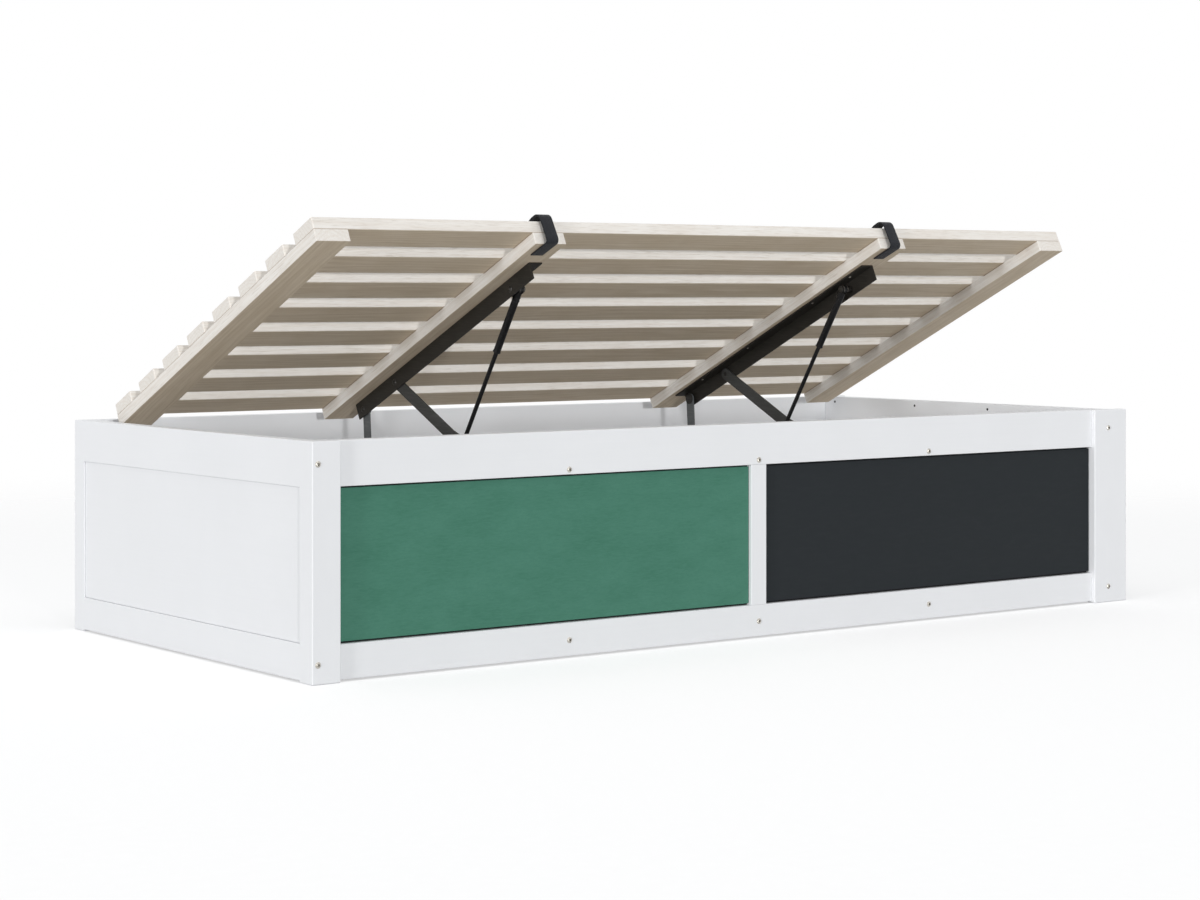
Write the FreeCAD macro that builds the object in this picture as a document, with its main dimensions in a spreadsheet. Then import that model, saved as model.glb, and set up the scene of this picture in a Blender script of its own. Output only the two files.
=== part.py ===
import FreeCAD, Part
import math
import os
import Sketcher
from types import SimpleNamespace
from FreeCAD import Placement, Rotation, Vector

# Storage bed with a lift-up slatted base, shown with the base raised.
# +X runs along the bed, -Y is the decorated front, +Z is up.
# The origin is on the floor, in the middle of the frame's outline.

doc = FreeCAD.newDocument("storage_bed")

# Driving dimensions in millimetres, with one angle in degrees and one count
DIMENSIONS = [
    # Frame
    ("bed_length", 2160),
    ("bed_width", 980),
    ("bed_height", 440),
    ("foot_rise", 4),
    ("left_post_width", 60),
    ("right_post_width", 105),
    ("post_depth", 45),
    ("right_post_depth", 22),
    ("post_rounding", 2),
    ("board_rounding", 1.2),
    ("top_rail_height", 84.5),
    ("bottom_rail_height", 64.5),
    ("front_rail_thick", 30),
    ("front_rail_inset", 10),
    ("back_rail_thick", 22),
    ("end_top_rail_height", 85),
    ("end_bottom_rail_height", 67),
    ("end_frame_thick", 30),
    ("right_end_inset", 38),
    ("end_panel_thick", 18),
    ("end_panel_recess", 3.5),
    ("stile_width", 40),
    ("stile_shift", 4),
    ("backing_thick", 14),
    ("insert_thick", 8),
    ("insert_gap", 3.5),
    ("insert_side_gap", 1),
    ("back_panel_thick", 12),
    ("back_panel_recess", 5),
    # Inside of the box
    ("upright_width", 40),
    ("upright_depth", 45),
    ("upright_spacing", 481),
    ("partition_thick", 18),
    ("partition_drop", 153),
    ("floor_thick", 10),
    ("cleat_height", 26),
    ("cleat_width", 25),
    ("back_ledge_depth", 30),
    ("ledge_height", 30),
    ("end_ledge_bearing", 31),
    ("rest_gap", 0.5),
    # Slatted base
    ("slat_count", 8),
    ("slat_width", 74),
    ("slat_thick", 25),
    ("slat_rounding", 2.5),
    ("batten_width", 74),
    ("batten_thick", 25),
    ("middle_batten_offset", 460),
    ("base_end_gap", 4.5),
    ("slat_recess", 15),
    ("open_rear_inset", 58),
    ("open_rear_rise", 32.8),
    ("open_tilt", 25),
    # Pull straps
    ("strap_width", 29),
    ("strap_thick", 3),
    ("strap_top_reach", 23),
    ("strap_under_reach", 36),
    ("strap_shift", 5),
    ("strap_bend", 2.5),
    # Lift mechanism
    ("unit_offset", 464),
    ("layer_gap", 0.4),
    ("angle_thick", 3),
    ("angle_web", 35),
    ("angle_flange", 32),
    ("angle_start", 80),
    ("angle_strap_gap", 48),
    ("angle_screw_depth", 22),
    ("angle_screw_first", 100),
    ("arm_thick", 4),
    ("arm_width", 26),
    ("link_thick", 4),
    ("link_width", 24),
    ("plate_thick", 3),
    ("plate_height", 136),
    ("plate_end_margin", 25),
    ("plate_top_margin", 10),
    ("plate_leg_width", 60),
    ("plate_leg_margin", 30),
    ("plate_screw_margin", 15),
    ("arm_pivot_run", 246),
    ("arm_pivot_drop", 17.5),
    ("link_pivot_run", 103),
    ("link_pivot_drop", 20),
    ("strut_pivot_setback", 83),
    ("strut_pivot_drop", 20),
    ("arm_base_inset", 680),
    ("arm_base_drop", 84),
    ("arm_knee_inset", 524.8),
    ("arm_knee_drop", 30.5),
    ("link_base_inset", 279),
    ("link_base_drop", 95),
    ("link_knee_inset", 186),
    ("link_knee_drop", 64),
    ("strut_base_inset", 369),
    ("strut_base_rise", 90),
    ("strut_axis_depth", 24.5),
    ("strut_eye_radius", 8.5),
    ("strut_eye_width", 14),
    ("sleeve_radius", 7.5),
    ("sleeve_wall", 1),
    ("sleeve_length", 153),
    ("sleeve_cap", 8),
    ("rod_radius", 4.5),
    ("rod_overlap", 40),
    ("cylinder_radius", 6),
    ("cylinder_length", 315),
    ("cylinder_foot", 15),
    ("strut_play", 0.3),
    # Pins and fasteners
    ("running_gap", 0.05),
    ("pin_radius", 5),
    ("loose_pin_radius", 4),
    ("loose_pin_play", 4.5),
    ("loose_washer_radius", 12.4),
    ("washer_thick", 1.8),
    ("rivet_head_radius", 7),
    ("rivet_head_rise", 2.5),
    ("base_pin_head_rise", 1.2),
    ("bolt_head_radius", 6),
    ("bolt_head_rise", 2.6),
    ("bolt_radius", 3),
    ("bolt_bite", 36),
    ("post_bolt_edge", 12),
    ("right_post_bolt_edge", 60),
    ("post_bolt_drop", 41.5),
    ("post_bolt_rise", 36),
    ("rail_bolt_drop", 75),
    ("rail_bolt_rise", 34.6),
    ("screw_head_radius", 3),
    ("screw_head_rise", 1.6),
    ("screw_radius", 2),
    ("screw_length", 15),
    ("end_screw_drop", 13),
    ("slat_screw_head_radius", 4.5),
    ("slat_screw_head_depth", 3),
    ("slat_screw_length", 42),
    ("overrun", 1),
]


class Size:
    """A number together with the sheet expression that it comes from."""

    def __init__(self, value, text):
        self.value = value
        self.text = text

    def join(self, sign, other, value):
        text = other.text if isinstance(other, Size) else repr(other)
        return Size(value, "(%s %s %s)" % (self.text, sign, text))

    def __add__(self, other):
        return self.join("+", other, self.value + number(other))

    def __sub__(self, other):
        return self.join("-", other, self.value - number(other))

    def __mul__(self, other):
        return self.join("*", other, self.value * number(other))

    def __truediv__(self, other):
        return self.join("/", other, self.value / number(other))

    def __neg__(self):
        return self * -1


def number(size):
    return size.value if isinstance(size, Size) else size


def vector(x, y, z):
    return Vector(number(x), number(y), number(z))


def distance(first, second):
    along = second[0] - first[0]
    up = second[1] - first[1]
    value = math.hypot(along.value, up.value)
    return Size(value, "hypot(%s; %s)" % (along.text, up.text))


sheet = doc.addObject("Spreadsheet::Sheet", "Sizes")
for row, (name, value) in enumerate(DIMENSIONS, start=1):
    sheet.set("A%d" % row, name)
    sheet.set("B%d" % row, str(value))
    sheet.setAlias("B%d" % row, name)
doc.recompute()
d = SimpleNamespace(**{name: Size(value, "Sizes." + name) for name, value in DIMENSIONS})

ALONG_X = Rotation(Vector(0, 1, 0), 90)
AGAINST_X = Rotation(Vector(0, 1, 0), -90)
ALONG_Y = Rotation(Vector(1, 0, 0), -90)
AGAINST_Y = Rotation(Vector(1, 0, 0), 90)
UPWARD = Rotation()
DOWNWARD = Rotation(Vector(1, 0, 0), 180)
# Turns a plate drawn in x and y so that it lies in the plane of Y and Z
SIDE_ON = Rotation(Vector(1, 1, 1), 120)

DECIMALS = 6
X, Y, Z = range(3)
LEFT = -1
RIGHT = 1
SIDES = [("left", LEFT), ("right", RIGHT)]
nodes = []


def keep(piece, label):
    """Counts an object as one of the bed's own pieces."""
    piece.Label = label
    nodes.append(piece)
    return piece


def plane_of(body, role):
    return next(plane for plane in body.Origin.OriginFeatures if plane.Role == role)


def pad(label, role, outline, thick):
    """A piece of even thickness: an outline sketched on one plane and padded along its normal."""
    body = doc.addObject("PartDesign::Body", label)
    sketch = body.newObject("Sketcher::SketchObject", label + "_outline")
    sketch.AttachmentSupport = [(plane_of(body, role), "")]
    sketch.MapMode = "FlatFace"
    points = [vector(across, up, 0) for across, up in outline]
    count = len(points)
    for index in range(count):
        sketch.addGeometry(Part.LineSegment(points[index], points[(index + 1) % count]))
    for index in range(count):
        sketch.addConstraint(Sketcher.Constraint("Coincident", index, 2, (index + 1) % count, 1))
    for index, corner in enumerate(outline):
        for axis, kind, size in ((-2, "DistanceX", corner[0]), (-1, "DistanceY", corner[1])):
            if number(size) == 0:
                sketch.addConstraint(Sketcher.Constraint("PointOnObject", index, 1, axis))
                continue
            made = sketch.addConstraint(Sketcher.Constraint(kind, -1, 1, index, 1, number(size)))
            sketch.setExpression("Constraints[%d]" % made, size.text)
    block = body.newObject("PartDesign::Pad", label + "_pad")
    block.Profile = sketch
    block.Reversed = role == "XZ_Plane"
    block.Length = number(thick)
    block.setExpression("Length", thick.text)
    doc.recompute()
    return body


def every_edge(edge):
    return True


def along(axis):
    """Picks the edges along one axis: a board's ends stay sharp where they butt against another."""
    def runs(edge):
        span = edge.Vertexes[-1].Point - edge.Vertexes[0].Point
        return math.isclose(abs(span[axis]), span.Length)
    return runs


def clear_of(depth):
    """Picks the edges that aren't all in the face at one depth along Y."""
    def stands_off(edge):
        return any(round(end.Y - number(depth), DECIMALS) for end in edge.Vertexes)
    return stands_off


def round_edges(body, radius, chosen=every_edge):
    """Rounds the chosen straight edges of a padded piece."""
    block = body.Tip
    names = []
    for index, edge in enumerate(block.Shape.Edges, start=1):
        if chosen(edge):
            names.append("Edge%d" % index)
    rounding = body.newObject("PartDesign::Fillet", body.Label + "_rounding")
    rounding.Base = (block, names)
    rounding.Radius = number(radius)
    rounding.setExpression("Radius", radius.text)
    doc.recompute()


def drill(body, radius, depth, start, turn, top_radius=None):
    """A round hole, or a countersink when it has a second radius, from start along the turned axis."""
    kind = "SubtractiveCone" if top_radius else "SubtractiveCylinder"
    hole = body.newObject("PartDesign::" + kind, body.Label + "_hole")
    sizes = {"Height": depth}
    if top_radius:
        sizes["Radius1"] = radius
        sizes["Radius2"] = top_radius
    else:
        sizes["Radius"] = radius
    for name, size in sizes.items():
        hole.setExpression(name, size.text)
    hole.Placement = Placement(start, turn)
    return hole


def rectangle(wide, tall):
    return [(0, 0), (wide, 0), (wide, tall), (0, tall)]


def board(label, role, wide, tall, thick, corner, rounding, turn=UPWARD, chosen=every_edge):
    """A rectangular board with rounded edges, put with its low corner at the given place."""
    body = keep(pad(label, role, rectangle(wide, tall), thick), label)
    round_edges(body, rounding, chosen)
    body.Placement = Placement(corner, turn)
    return body


def primitive(kind, name, sizes, where=Placement()):
    piece = doc.addObject("Part::" + kind, name)
    for prop, size in sizes.items():
        piece.setExpression(prop, size.text)
    piece.Placement = where
    return piece


def fused(name, pieces):
    whole = doc.addObject("Part::MultiFuse", name)
    whole.Shapes = pieces
    whole.Refine = True
    return whole


def cut(name, base, tools):
    result = doc.addObject("Part::Cut", name)
    result.Base = base
    result.Tool = tools[0] if len(tools) == 1 else fused(name + "_tools", tools)
    return result


def group(label, placed):
    """One node of separate like pieces, each a copy of a pattern piece at its own place."""
    doc.recompute()
    copies = []
    for pattern, place in placed:
        shape = pattern.Shape.copy()
        shape.Placement = place
        copies.append(shape)
    gathered = doc.addObject("Part::Feature", label)
    gathered.Shape = Part.makeCompound(copies)
    return keep(gathered, label)


def dome(name, radius, rise):
    """A domed head on the plane z = 0."""
    ball = (radius * radius + rise * rise) / (rise * 2)
    lift = ball - rise
    cap = primitive("Sphere", name, {"Radius": ball}, Placement(vector(0, 0, -lift), UPWARD))
    cap.setExpression("Angle1", "asin(%s)" % (lift / ball).text)
    return cap


def screw(name, head_radius, head_rise, radius, length):
    """A domed screw with the seat of its head on z = 0 and its shank below."""
    head = dome(name + "_head", head_radius, head_rise)
    shank = primitive("Cylinder", name + "_shank", {"Radius": radius, "Height": length},
                      Placement(vector(0, 0, -length), UPWARD))
    return fused(name, [head, shank])


# Outer faces and heights of the frame
half_length = d.bed_length / 2
half_width = d.bed_width / 2
left_inner = d.left_post_width - half_length
right_inner = half_length - d.right_post_width
clear_span = right_inner - left_inner
span_middle = (right_inner + left_inner) / 2
stile_middle = span_middle + d.stile_shift
front_rail_face = d.front_rail_inset - half_width
front_rail_back = front_rail_face + d.front_rail_thick
back_wall = half_width - d.back_rail_thick
post_to_post = d.bed_width - d.post_depth * 2
post_back_face = half_width - d.post_depth
right_post_back = half_width - d.right_post_depth
top_rail_foot = d.bed_height - d.top_rail_height
bottom_rail_top = d.foot_rise + d.bottom_rail_height
bay_height = top_rail_foot - bottom_rail_top
left_end_inner = d.end_frame_thick - half_length
right_end_outer = half_length - d.right_end_inset
right_end_inner = right_end_outer - d.end_frame_thick
bolt_hole = d.bolt_radius + d.running_gap * 2
screw_hole = d.screw_radius + d.running_gap * 2

# Heights of the closed base
closed_top = d.bed_height - d.slat_recess
base_thick = d.slat_thick + d.batten_thick
closed_underside = closed_top - base_thick
ledge_top = closed_underside - d.rest_gap
upright_top = closed_underside - d.strap_thick - d.rest_gap * 2
upright_places = [stile_middle + d.upright_spacing * step for step in (-1, 0, 1)]
floor_top = d.foot_rise + d.cleat_height + d.floor_thick

# Posts
post_bolt_levels = [d.bed_height - d.post_bolt_drop, d.post_bolt_rise]
left_bolt_x = d.post_bolt_edge - half_length
right_bolt_x = half_length - d.right_post_bolt_edge


def post(label, end, width, depth, low_x, bolt_x):
    """A post at the front or the back. Its inner face meets the rails, so its edges stay sharp there."""
    low_y = -half_width if end == "front" else half_width - depth
    inner = depth if end == "front" else 0
    body = board(label, "XZ_Plane", width, d.bed_height, depth, vector(low_x, low_y, 0),
                 d.post_rounding, chosen=clear_of(inner))
    for level in post_bolt_levels:
        start = vector(bolt_x - low_x, -d.overrun, level)
        drill(body, bolt_hole, depth + d.overrun * 2, start, ALONG_Y)


for end in ("front", "back"):
    post("post_%s_left" % end, end, d.left_post_width, d.post_depth, -half_length, left_bolt_x)
    post("post_%s_right" % end, end, d.right_post_width, d.right_post_depth, right_inner, right_bolt_x)

# Front rails, with a bolt hole for each upright behind them
rail_bolt_levels = [d.bed_height - d.rail_bolt_drop, d.rail_bolt_rise]


def front_rail(label, height, foot, bolt_level):
    body = board(label, "XZ_Plane", clear_span, height, d.front_rail_thick,
                 vector(left_inner, front_rail_face, foot), d.board_rounding, chosen=along(X))
    for place in upright_places:
        start = vector(place - left_inner, -d.overrun, bolt_level - foot)
        drill(body, bolt_hole, d.front_rail_thick + d.overrun * 2, start, ALONG_Y)


front_rail("front_top_rail", d.top_rail_height, top_rail_foot, rail_bolt_levels[0])
front_rail("front_bottom_rail", d.bottom_rail_height, d.foot_rise, rail_bolt_levels[1])

# Front bays: one backing board, a stile in the middle and an insert on each side of it
backing_face = front_rail_back - d.backing_thick
stile_thick = backing_face - front_rail_face
stile_low = stile_middle - d.stile_width / 2
stile_high = stile_middle + d.stile_width / 2
insert_height = bay_height - d.insert_gap * 2
board("front_backing_board", "XZ_Plane", clear_span, bay_height, d.backing_thick,
      vector(left_inner, backing_face, bottom_rail_top), d.board_rounding)
board("front_stile", "XZ_Plane", d.stile_width, bay_height, stile_thick,
      vector(stile_low, front_rail_face, bottom_rail_top), d.board_rounding, chosen=along(Z))
for label, low, high in (("green_panel", left_inner, stile_low), ("dark_panel", stile_high, right_inner)):
    board(label, "XZ_Plane", high - low - d.insert_side_gap * 2, insert_height, d.insert_thick,
          vector(low + d.insert_side_gap, backing_face - d.insert_thick, bottom_rail_top + d.insert_gap),
          d.board_rounding)

# Back rails and panel
board("back_top_rail", "XZ_Plane", clear_span, d.top_rail_height, d.back_rail_thick,
      vector(left_inner, back_wall, top_rail_foot), d.board_rounding, chosen=along(X))
board("back_bottom_rail", "XZ_Plane", clear_span, d.bottom_rail_height, d.back_rail_thick,
      vector(left_inner, back_wall, d.foot_rise), d.board_rounding, chosen=along(X))
board("back_panel", "XZ_Plane", clear_span, bay_height, d.back_panel_thick,
      vector(left_inner, half_width - d.back_panel_recess - d.back_panel_thick, bottom_rail_top),
      d.board_rounding)

# Ends: two rails and a panel between the posts
end_panel_foot = d.foot_rise + d.end_bottom_rail_height
end_panel_height = d.bed_height - d.end_top_rail_height - end_panel_foot
end_screw_shares = (0.9612, 0.6474, 0.3792)
right_end_run = right_post_back * 2
end_screw_places = [right_end_run * share for share in end_screw_shares]


def end_frame(end, low_x, panel_low, bolt_x, reach):
    """Two rails and a panel between the posts, which stand at the same reach in front and behind."""
    run = reach * 2
    rails = (("top", d.end_top_rail_height, d.bed_height - d.end_top_rail_height, post_bolt_levels[0]),
             ("bottom", d.end_bottom_rail_height, d.foot_rise, post_bolt_levels[1]))
    made = {}
    for name, height, foot, bolt_level in rails:
        body = board("%s_end_%s_rail" % (end, name), "YZ_Plane", run, height, d.end_frame_thick,
                     vector(low_x, -reach, foot), d.board_rounding, chosen=along(Y))
        for place, turn in ((-d.overrun, ALONG_Y), (run + d.overrun, AGAINST_Y)):
            start = vector(bolt_x - low_x, place, bolt_level - foot)
            drill(body, bolt_hole, d.bolt_bite + d.overrun * 2, start, turn)
        made[name] = body
    board("%s_end_panel" % end, "YZ_Plane", run, end_panel_height, d.end_panel_thick,
          vector(panel_low, -reach, end_panel_foot), d.board_rounding)
    return made


end_frame("left", -half_length, d.end_panel_recess - half_length, left_bolt_x, post_back_face)
right_panel_low = right_end_outer - d.end_panel_recess - d.end_panel_thick
right_end = end_frame("right", right_end_inner, right_panel_low, right_bolt_x, right_post_back)
end_screw_level = d.bed_height - d.end_screw_drop
for place in end_screw_places:
    start = vector(-d.overrun, place, d.end_top_rail_height - d.end_screw_drop)
    drill(right_end["top"], screw_hole, d.screw_length + d.overrun * 2, start, ALONG_X)

# Uprights behind the front rails
for label, place in zip(("left_upright", "middle_upright", "right_upright"), upright_places):
    body = board(label, "XZ_Plane", d.upright_width, upright_top - d.foot_rise, d.upright_depth,
                 vector(place - d.upright_width / 2, front_rail_back, d.foot_rise), d.board_rounding)
    for level in rail_bolt_levels:
        start = vector(d.upright_width / 2, -d.overrun, level - d.foot_rise)
        drill(body, bolt_hole, d.bolt_bite + d.overrun * 2, start, ALONG_Y)

# Ledges that carry the closed base
board("back_ledge", "XZ_Plane", clear_span, d.ledge_height, d.back_ledge_depth,
      vector(left_inner, back_wall - d.back_ledge_depth, ledge_top - d.ledge_height), d.board_rounding)
ledge_back = back_wall - d.back_ledge_depth
ledge_run = ledge_back + post_back_face
base_length = clear_span - d.base_end_gap * 2
base_left = left_inner + d.base_end_gap
base_right = right_inner - d.base_end_gap
end_ledges = []
for end, low, high in (("left", left_end_inner, base_left + d.end_ledge_bearing),
                       ("right", base_right - d.end_ledge_bearing, right_end_inner)):
    strip = pad("end_ledge_%s" % end, "YZ_Plane", rectangle(ledge_run, d.ledge_height), high - low)
    round_edges(strip, d.board_rounding)
    end_ledges.append((strip, Placement(vector(low, -post_back_face, ledge_top - d.ledge_height), UPWARD)))
group("end_ledges", end_ledges)

# Floor board, notched round the posts and the uprights, on cleats
floor_low = front_rail_back
floor_wide = right_end_inner - left_end_inner
floor_deep = back_wall - floor_low
front_notch = -post_back_face - floor_low
back_notch = post_back_face - floor_low
left_notch = left_inner - left_end_inner
right_notch = right_inner - left_end_inner
floor_outline = [(left_notch, 0)]
for place in upright_places:
    low = place - d.upright_width / 2 - left_end_inner
    high = low + d.upright_width
    floor_outline += [(low, 0), (low, d.upright_depth), (high, d.upright_depth), (high, 0)]
floor_outline += [(right_notch, 0), (right_notch, front_notch), (floor_wide, front_notch),
                  (floor_wide, back_notch), (right_notch, back_notch), (right_notch, floor_deep),
                  (left_notch, floor_deep), (left_notch, back_notch), (0, back_notch),
                  (0, front_notch), (left_notch, front_notch)]
floor_board = keep(pad("floor_board", "XY_Plane", floor_outline, d.floor_thick), "floor_board")
floor_board.Placement = Placement(vector(left_end_inner, floor_low, floor_top - d.floor_thick), UPWARD)

cleats = []
cleat_stops = [left_inner]
for place in upright_places:
    cleat_stops += [place - d.upright_width / 2, place + d.upright_width / 2]
cleat_stops.append(right_inner)
cleat_runs = [(low, high, floor_low) for low, high in zip(cleat_stops[::2], cleat_stops[1::2])]
cleat_runs.append((left_inner, right_inner, back_wall - d.cleat_width))
for index, (low, high, low_y) in enumerate(cleat_runs):
    strip = pad("cleat_%d" % index, "XY_Plane", rectangle(high - low, d.cleat_width), d.cleat_height)
    round_edges(strip, d.board_rounding)
    cleats.append((strip, Placement(vector(low, low_y, d.foot_rise), UPWARD)))
group("floor_cleats", cleats)

# Layers of the lift mechanism, as depths inward from the outer face of the angle's web
arm_layer = d.angle_thick + d.layer_gap
arm_inside = arm_layer + d.arm_thick
link_layer = arm_inside + d.layer_gap
link_inside = link_layer + d.link_thick
plate_layer = link_inside + d.layer_gap
plate_inside = plate_layer + d.plate_thick
eye_layer = d.strut_axis_depth - d.strut_eye_width / 2
eye_inside = d.strut_axis_depth + d.strut_eye_width / 2


def unit_x(side, depth):
    """The place along X of a depth in the left or right mechanism."""
    return stile_middle + (d.unit_offset - depth) * side


def low_x(side, near, far):
    return unit_x(side, near if side == LEFT else far)


# Pivots fixed to the frame, seen from the side
arm_base = (half_width - d.arm_base_inset, d.bed_height - d.arm_base_drop)
arm_knee = (half_width - d.arm_knee_inset, d.bed_height - d.arm_knee_drop)
link_base = (half_width - d.link_base_inset, d.bed_height - d.link_base_drop)
link_knee = (half_width - d.link_knee_inset, d.bed_height - d.link_knee_drop)
strut_base = (half_width - d.strut_base_inset, floor_top + d.strut_base_rise)

# The raised base: runs are measured forward from its rear edge, drops down from the slats' top
rear_y = half_width - d.open_rear_inset
rear_z = d.bed_height + d.open_rear_rise
tilt_cosine = Size(math.cos(math.radians(d.open_tilt.value)), "cos(Sizes.open_tilt * 1 deg)")
tilt_sine = Size(math.sin(math.radians(d.open_tilt.value)), "sin(Sizes.open_tilt * 1 deg)")
TILTED = Rotation(Vector(1, 0, 0), -d.open_tilt.value)


def raised(run, drop):
    """The side-view place of a point of the raised base."""
    y = rear_y - tilt_cosine * run - tilt_sine * drop
    z = rear_z + tilt_sine * run - tilt_cosine * drop
    return (y, z)


def raised_vector(x, run, drop):
    y, z = raised(run, drop)
    return vector(x, y, z)


base_depth = post_to_post
angle_front = base_depth - d.strap_under_reach - d.angle_strap_gap
angle_length = angle_front - d.angle_start
strut_pivot_run = angle_front - d.strut_pivot_setback
slat_pitch = (base_depth - d.slat_width) / (d.slat_count.value - 1)
batten_low_places = [base_left,
                     span_middle - d.middle_batten_offset - d.batten_width / 2,
                     span_middle + d.middle_batten_offset - d.batten_width / 2,
                     base_right - d.batten_width]
batten_names = ["left_end_batten", "left_middle_batten", "right_middle_batten", "right_end_batten"]
slat_runs = [d.slat_width / 2 + slat_pitch * index for index in range(d.slat_count.value)]

# Slats, counted from the rear, each screwed down at every batten
head_hole = d.slat_screw_head_radius + d.running_gap * 2
for index, run in enumerate(slat_runs, start=1):
    front_edge = run + d.slat_width / 2
    slat = board("slat_%d" % index, "XY_Plane", base_length, d.slat_width, d.slat_thick,
                 raised_vector(base_left, front_edge, d.slat_thick), d.slat_rounding, TILTED)
    for low in batten_low_places:
        across = low + d.batten_width / 2 - base_left
        drill(slat, screw_hole, d.slat_thick + d.overrun * 2,
              vector(across, d.slat_width / 2, -d.overrun), UPWARD)
        drill(slat, screw_hole, d.slat_screw_head_depth,
              vector(across, d.slat_width / 2, d.slat_thick - d.slat_screw_head_depth), UPWARD, head_hole)

# Battens under the slats
pilot_depth = d.slat_screw_length - d.slat_thick + d.overrun
angle_screw_shares = (0, 0.253, 0.596, 0.786)
angle_screw_start = d.angle_start + d.angle_screw_first
angle_screw_runs = [angle_screw_start + angle_length * share for share in angle_screw_shares]
for label, low in zip(batten_names, batten_low_places):
    batten = board(label, "XY_Plane", d.batten_width, base_depth, d.batten_thick,
                   raised_vector(low, base_depth, base_thick), d.board_rounding, TILTED)
    for run in slat_runs:
        start = vector(d.batten_width / 2, base_depth - run, d.batten_thick + d.overrun)
        drill(batten, screw_hole, pilot_depth + d.overrun, start, DOWNWARD)
    if "middle" in label:
        side = LEFT if "left" in label else RIGHT
        across = unit_x(side, d.angle_screw_depth) - low
        for run in angle_screw_runs:
            start = vector(across, base_depth - run, -d.overrun)
            drill(batten, screw_hole, d.screw_length + d.overrun * 2, start, UPWARD)

slat_screw_head = primitive("Cone", "slat_screw_head",
                            {"Radius1": d.screw_radius, "Radius2": d.slat_screw_head_radius,
                             "Height": d.slat_screw_head_depth},
                            Placement(vector(0, 0, -d.slat_screw_head_depth), UPWARD))
slat_screw_shank = primitive("Cylinder", "slat_screw_shank",
                             {"Radius": d.screw_radius, "Height": d.slat_screw_length},
                             Placement(vector(0, 0, -d.slat_screw_length), UPWARD))
slat_screw = fused("slat_screw", [slat_screw_head, slat_screw_shank])
group("slat_screws", [(slat_screw, Placement(raised_vector(low + d.batten_width / 2, run, 0), TILTED))
                      for run in slat_runs for low in batten_low_places])

# Pull straps, each wrapped round the front edge of the base at a middle batten
strap_foot = base_thick + d.strap_thick
strap_rise = strap_foot + d.strap_thick
strap_corners = {(0, 0), (0, round(number(strap_rise), DECIMALS))}


def at_strap_corner(edge):
    """True for an edge that runs across the strap at one of its two outer corners."""
    spots = {(round(end.Y, DECIMALS), round(end.Z, DECIMALS)) for end in edge.Vertexes}
    return len(spots) == 1 and spots <= strap_corners


for end, low in (("left", batten_low_places[1]), ("right", batten_low_places[2])):
    outline = [(0, 0), (d.strap_under_reach + d.strap_thick, 0),
               (d.strap_under_reach + d.strap_thick, d.strap_thick), (d.strap_thick, d.strap_thick),
               (d.strap_thick, strap_foot), (d.strap_top_reach + d.strap_thick, strap_foot),
               (d.strap_top_reach + d.strap_thick, strap_rise), (0, strap_rise)]
    strap = keep(pad("%s_pull_strap" % end, "YZ_Plane", outline, d.strap_width), "%s_pull_strap" % end)
    round_edges(strap, d.strap_bend, at_strap_corner)
    middle = low + d.batten_width / 2 - d.strap_shift
    strap_low = middle - d.strap_width / 2
    strap_corner = raised_vector(strap_low, base_depth + d.strap_thick, strap_foot)
    strap.Placement = Placement(strap_corner, TILTED)

# Angles under the middle battens
arm_pin_drop = base_thick + d.arm_pivot_drop
link_pin_drop = base_thick + d.link_pivot_drop
strut_pin_drop = base_thick + d.strut_pivot_drop
pin_hole = d.pin_radius + d.running_gap
loose_pin_hole = d.loose_pin_radius + d.running_gap
for end, side in SIDES:
    flange_foot = d.angle_web - d.angle_thick
    if side == LEFT:
        outline = [(0, 0), (d.angle_thick, 0), (d.angle_thick, flange_foot), (d.angle_flange, flange_foot),
                   (d.angle_flange, d.angle_web), (0, d.angle_web)]
    else:
        web_low = d.angle_flange - d.angle_thick
        outline = [(web_low, 0), (d.angle_flange, 0), (d.angle_flange, d.angle_web), (0, d.angle_web),
                   (0, flange_foot), (web_low, flange_foot)]
    label = "%s_lift_angle" % end
    angle = keep(pad(label, "XZ_Plane", outline, angle_length), label)
    angle_low = low_x(side, 0, d.angle_flange)
    for run, drop, radius in ((d.arm_pivot_run, d.arm_pivot_drop, pin_hole),
                              (d.link_pivot_run, d.link_pivot_drop, loose_pin_hole),
                              (strut_pivot_run, d.strut_pivot_drop, pin_hole)):
        start = vector(-d.overrun, angle_front - run, d.angle_web - drop)
        drill(angle, radius, d.angle_flange + d.overrun * 2, start, ALONG_X)
    screw_across = unit_x(side, d.angle_screw_depth) - angle_low
    for run in angle_screw_runs:
        start = vector(screw_across, angle_front - run, flange_foot - d.overrun)
        drill(angle, screw_hole, d.angle_thick + d.overrun * 2, start, UPWARD)
    angle.Placement = Placement(raised_vector(angle_low, angle_front, base_thick + d.angle_web), TILTED)


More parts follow.
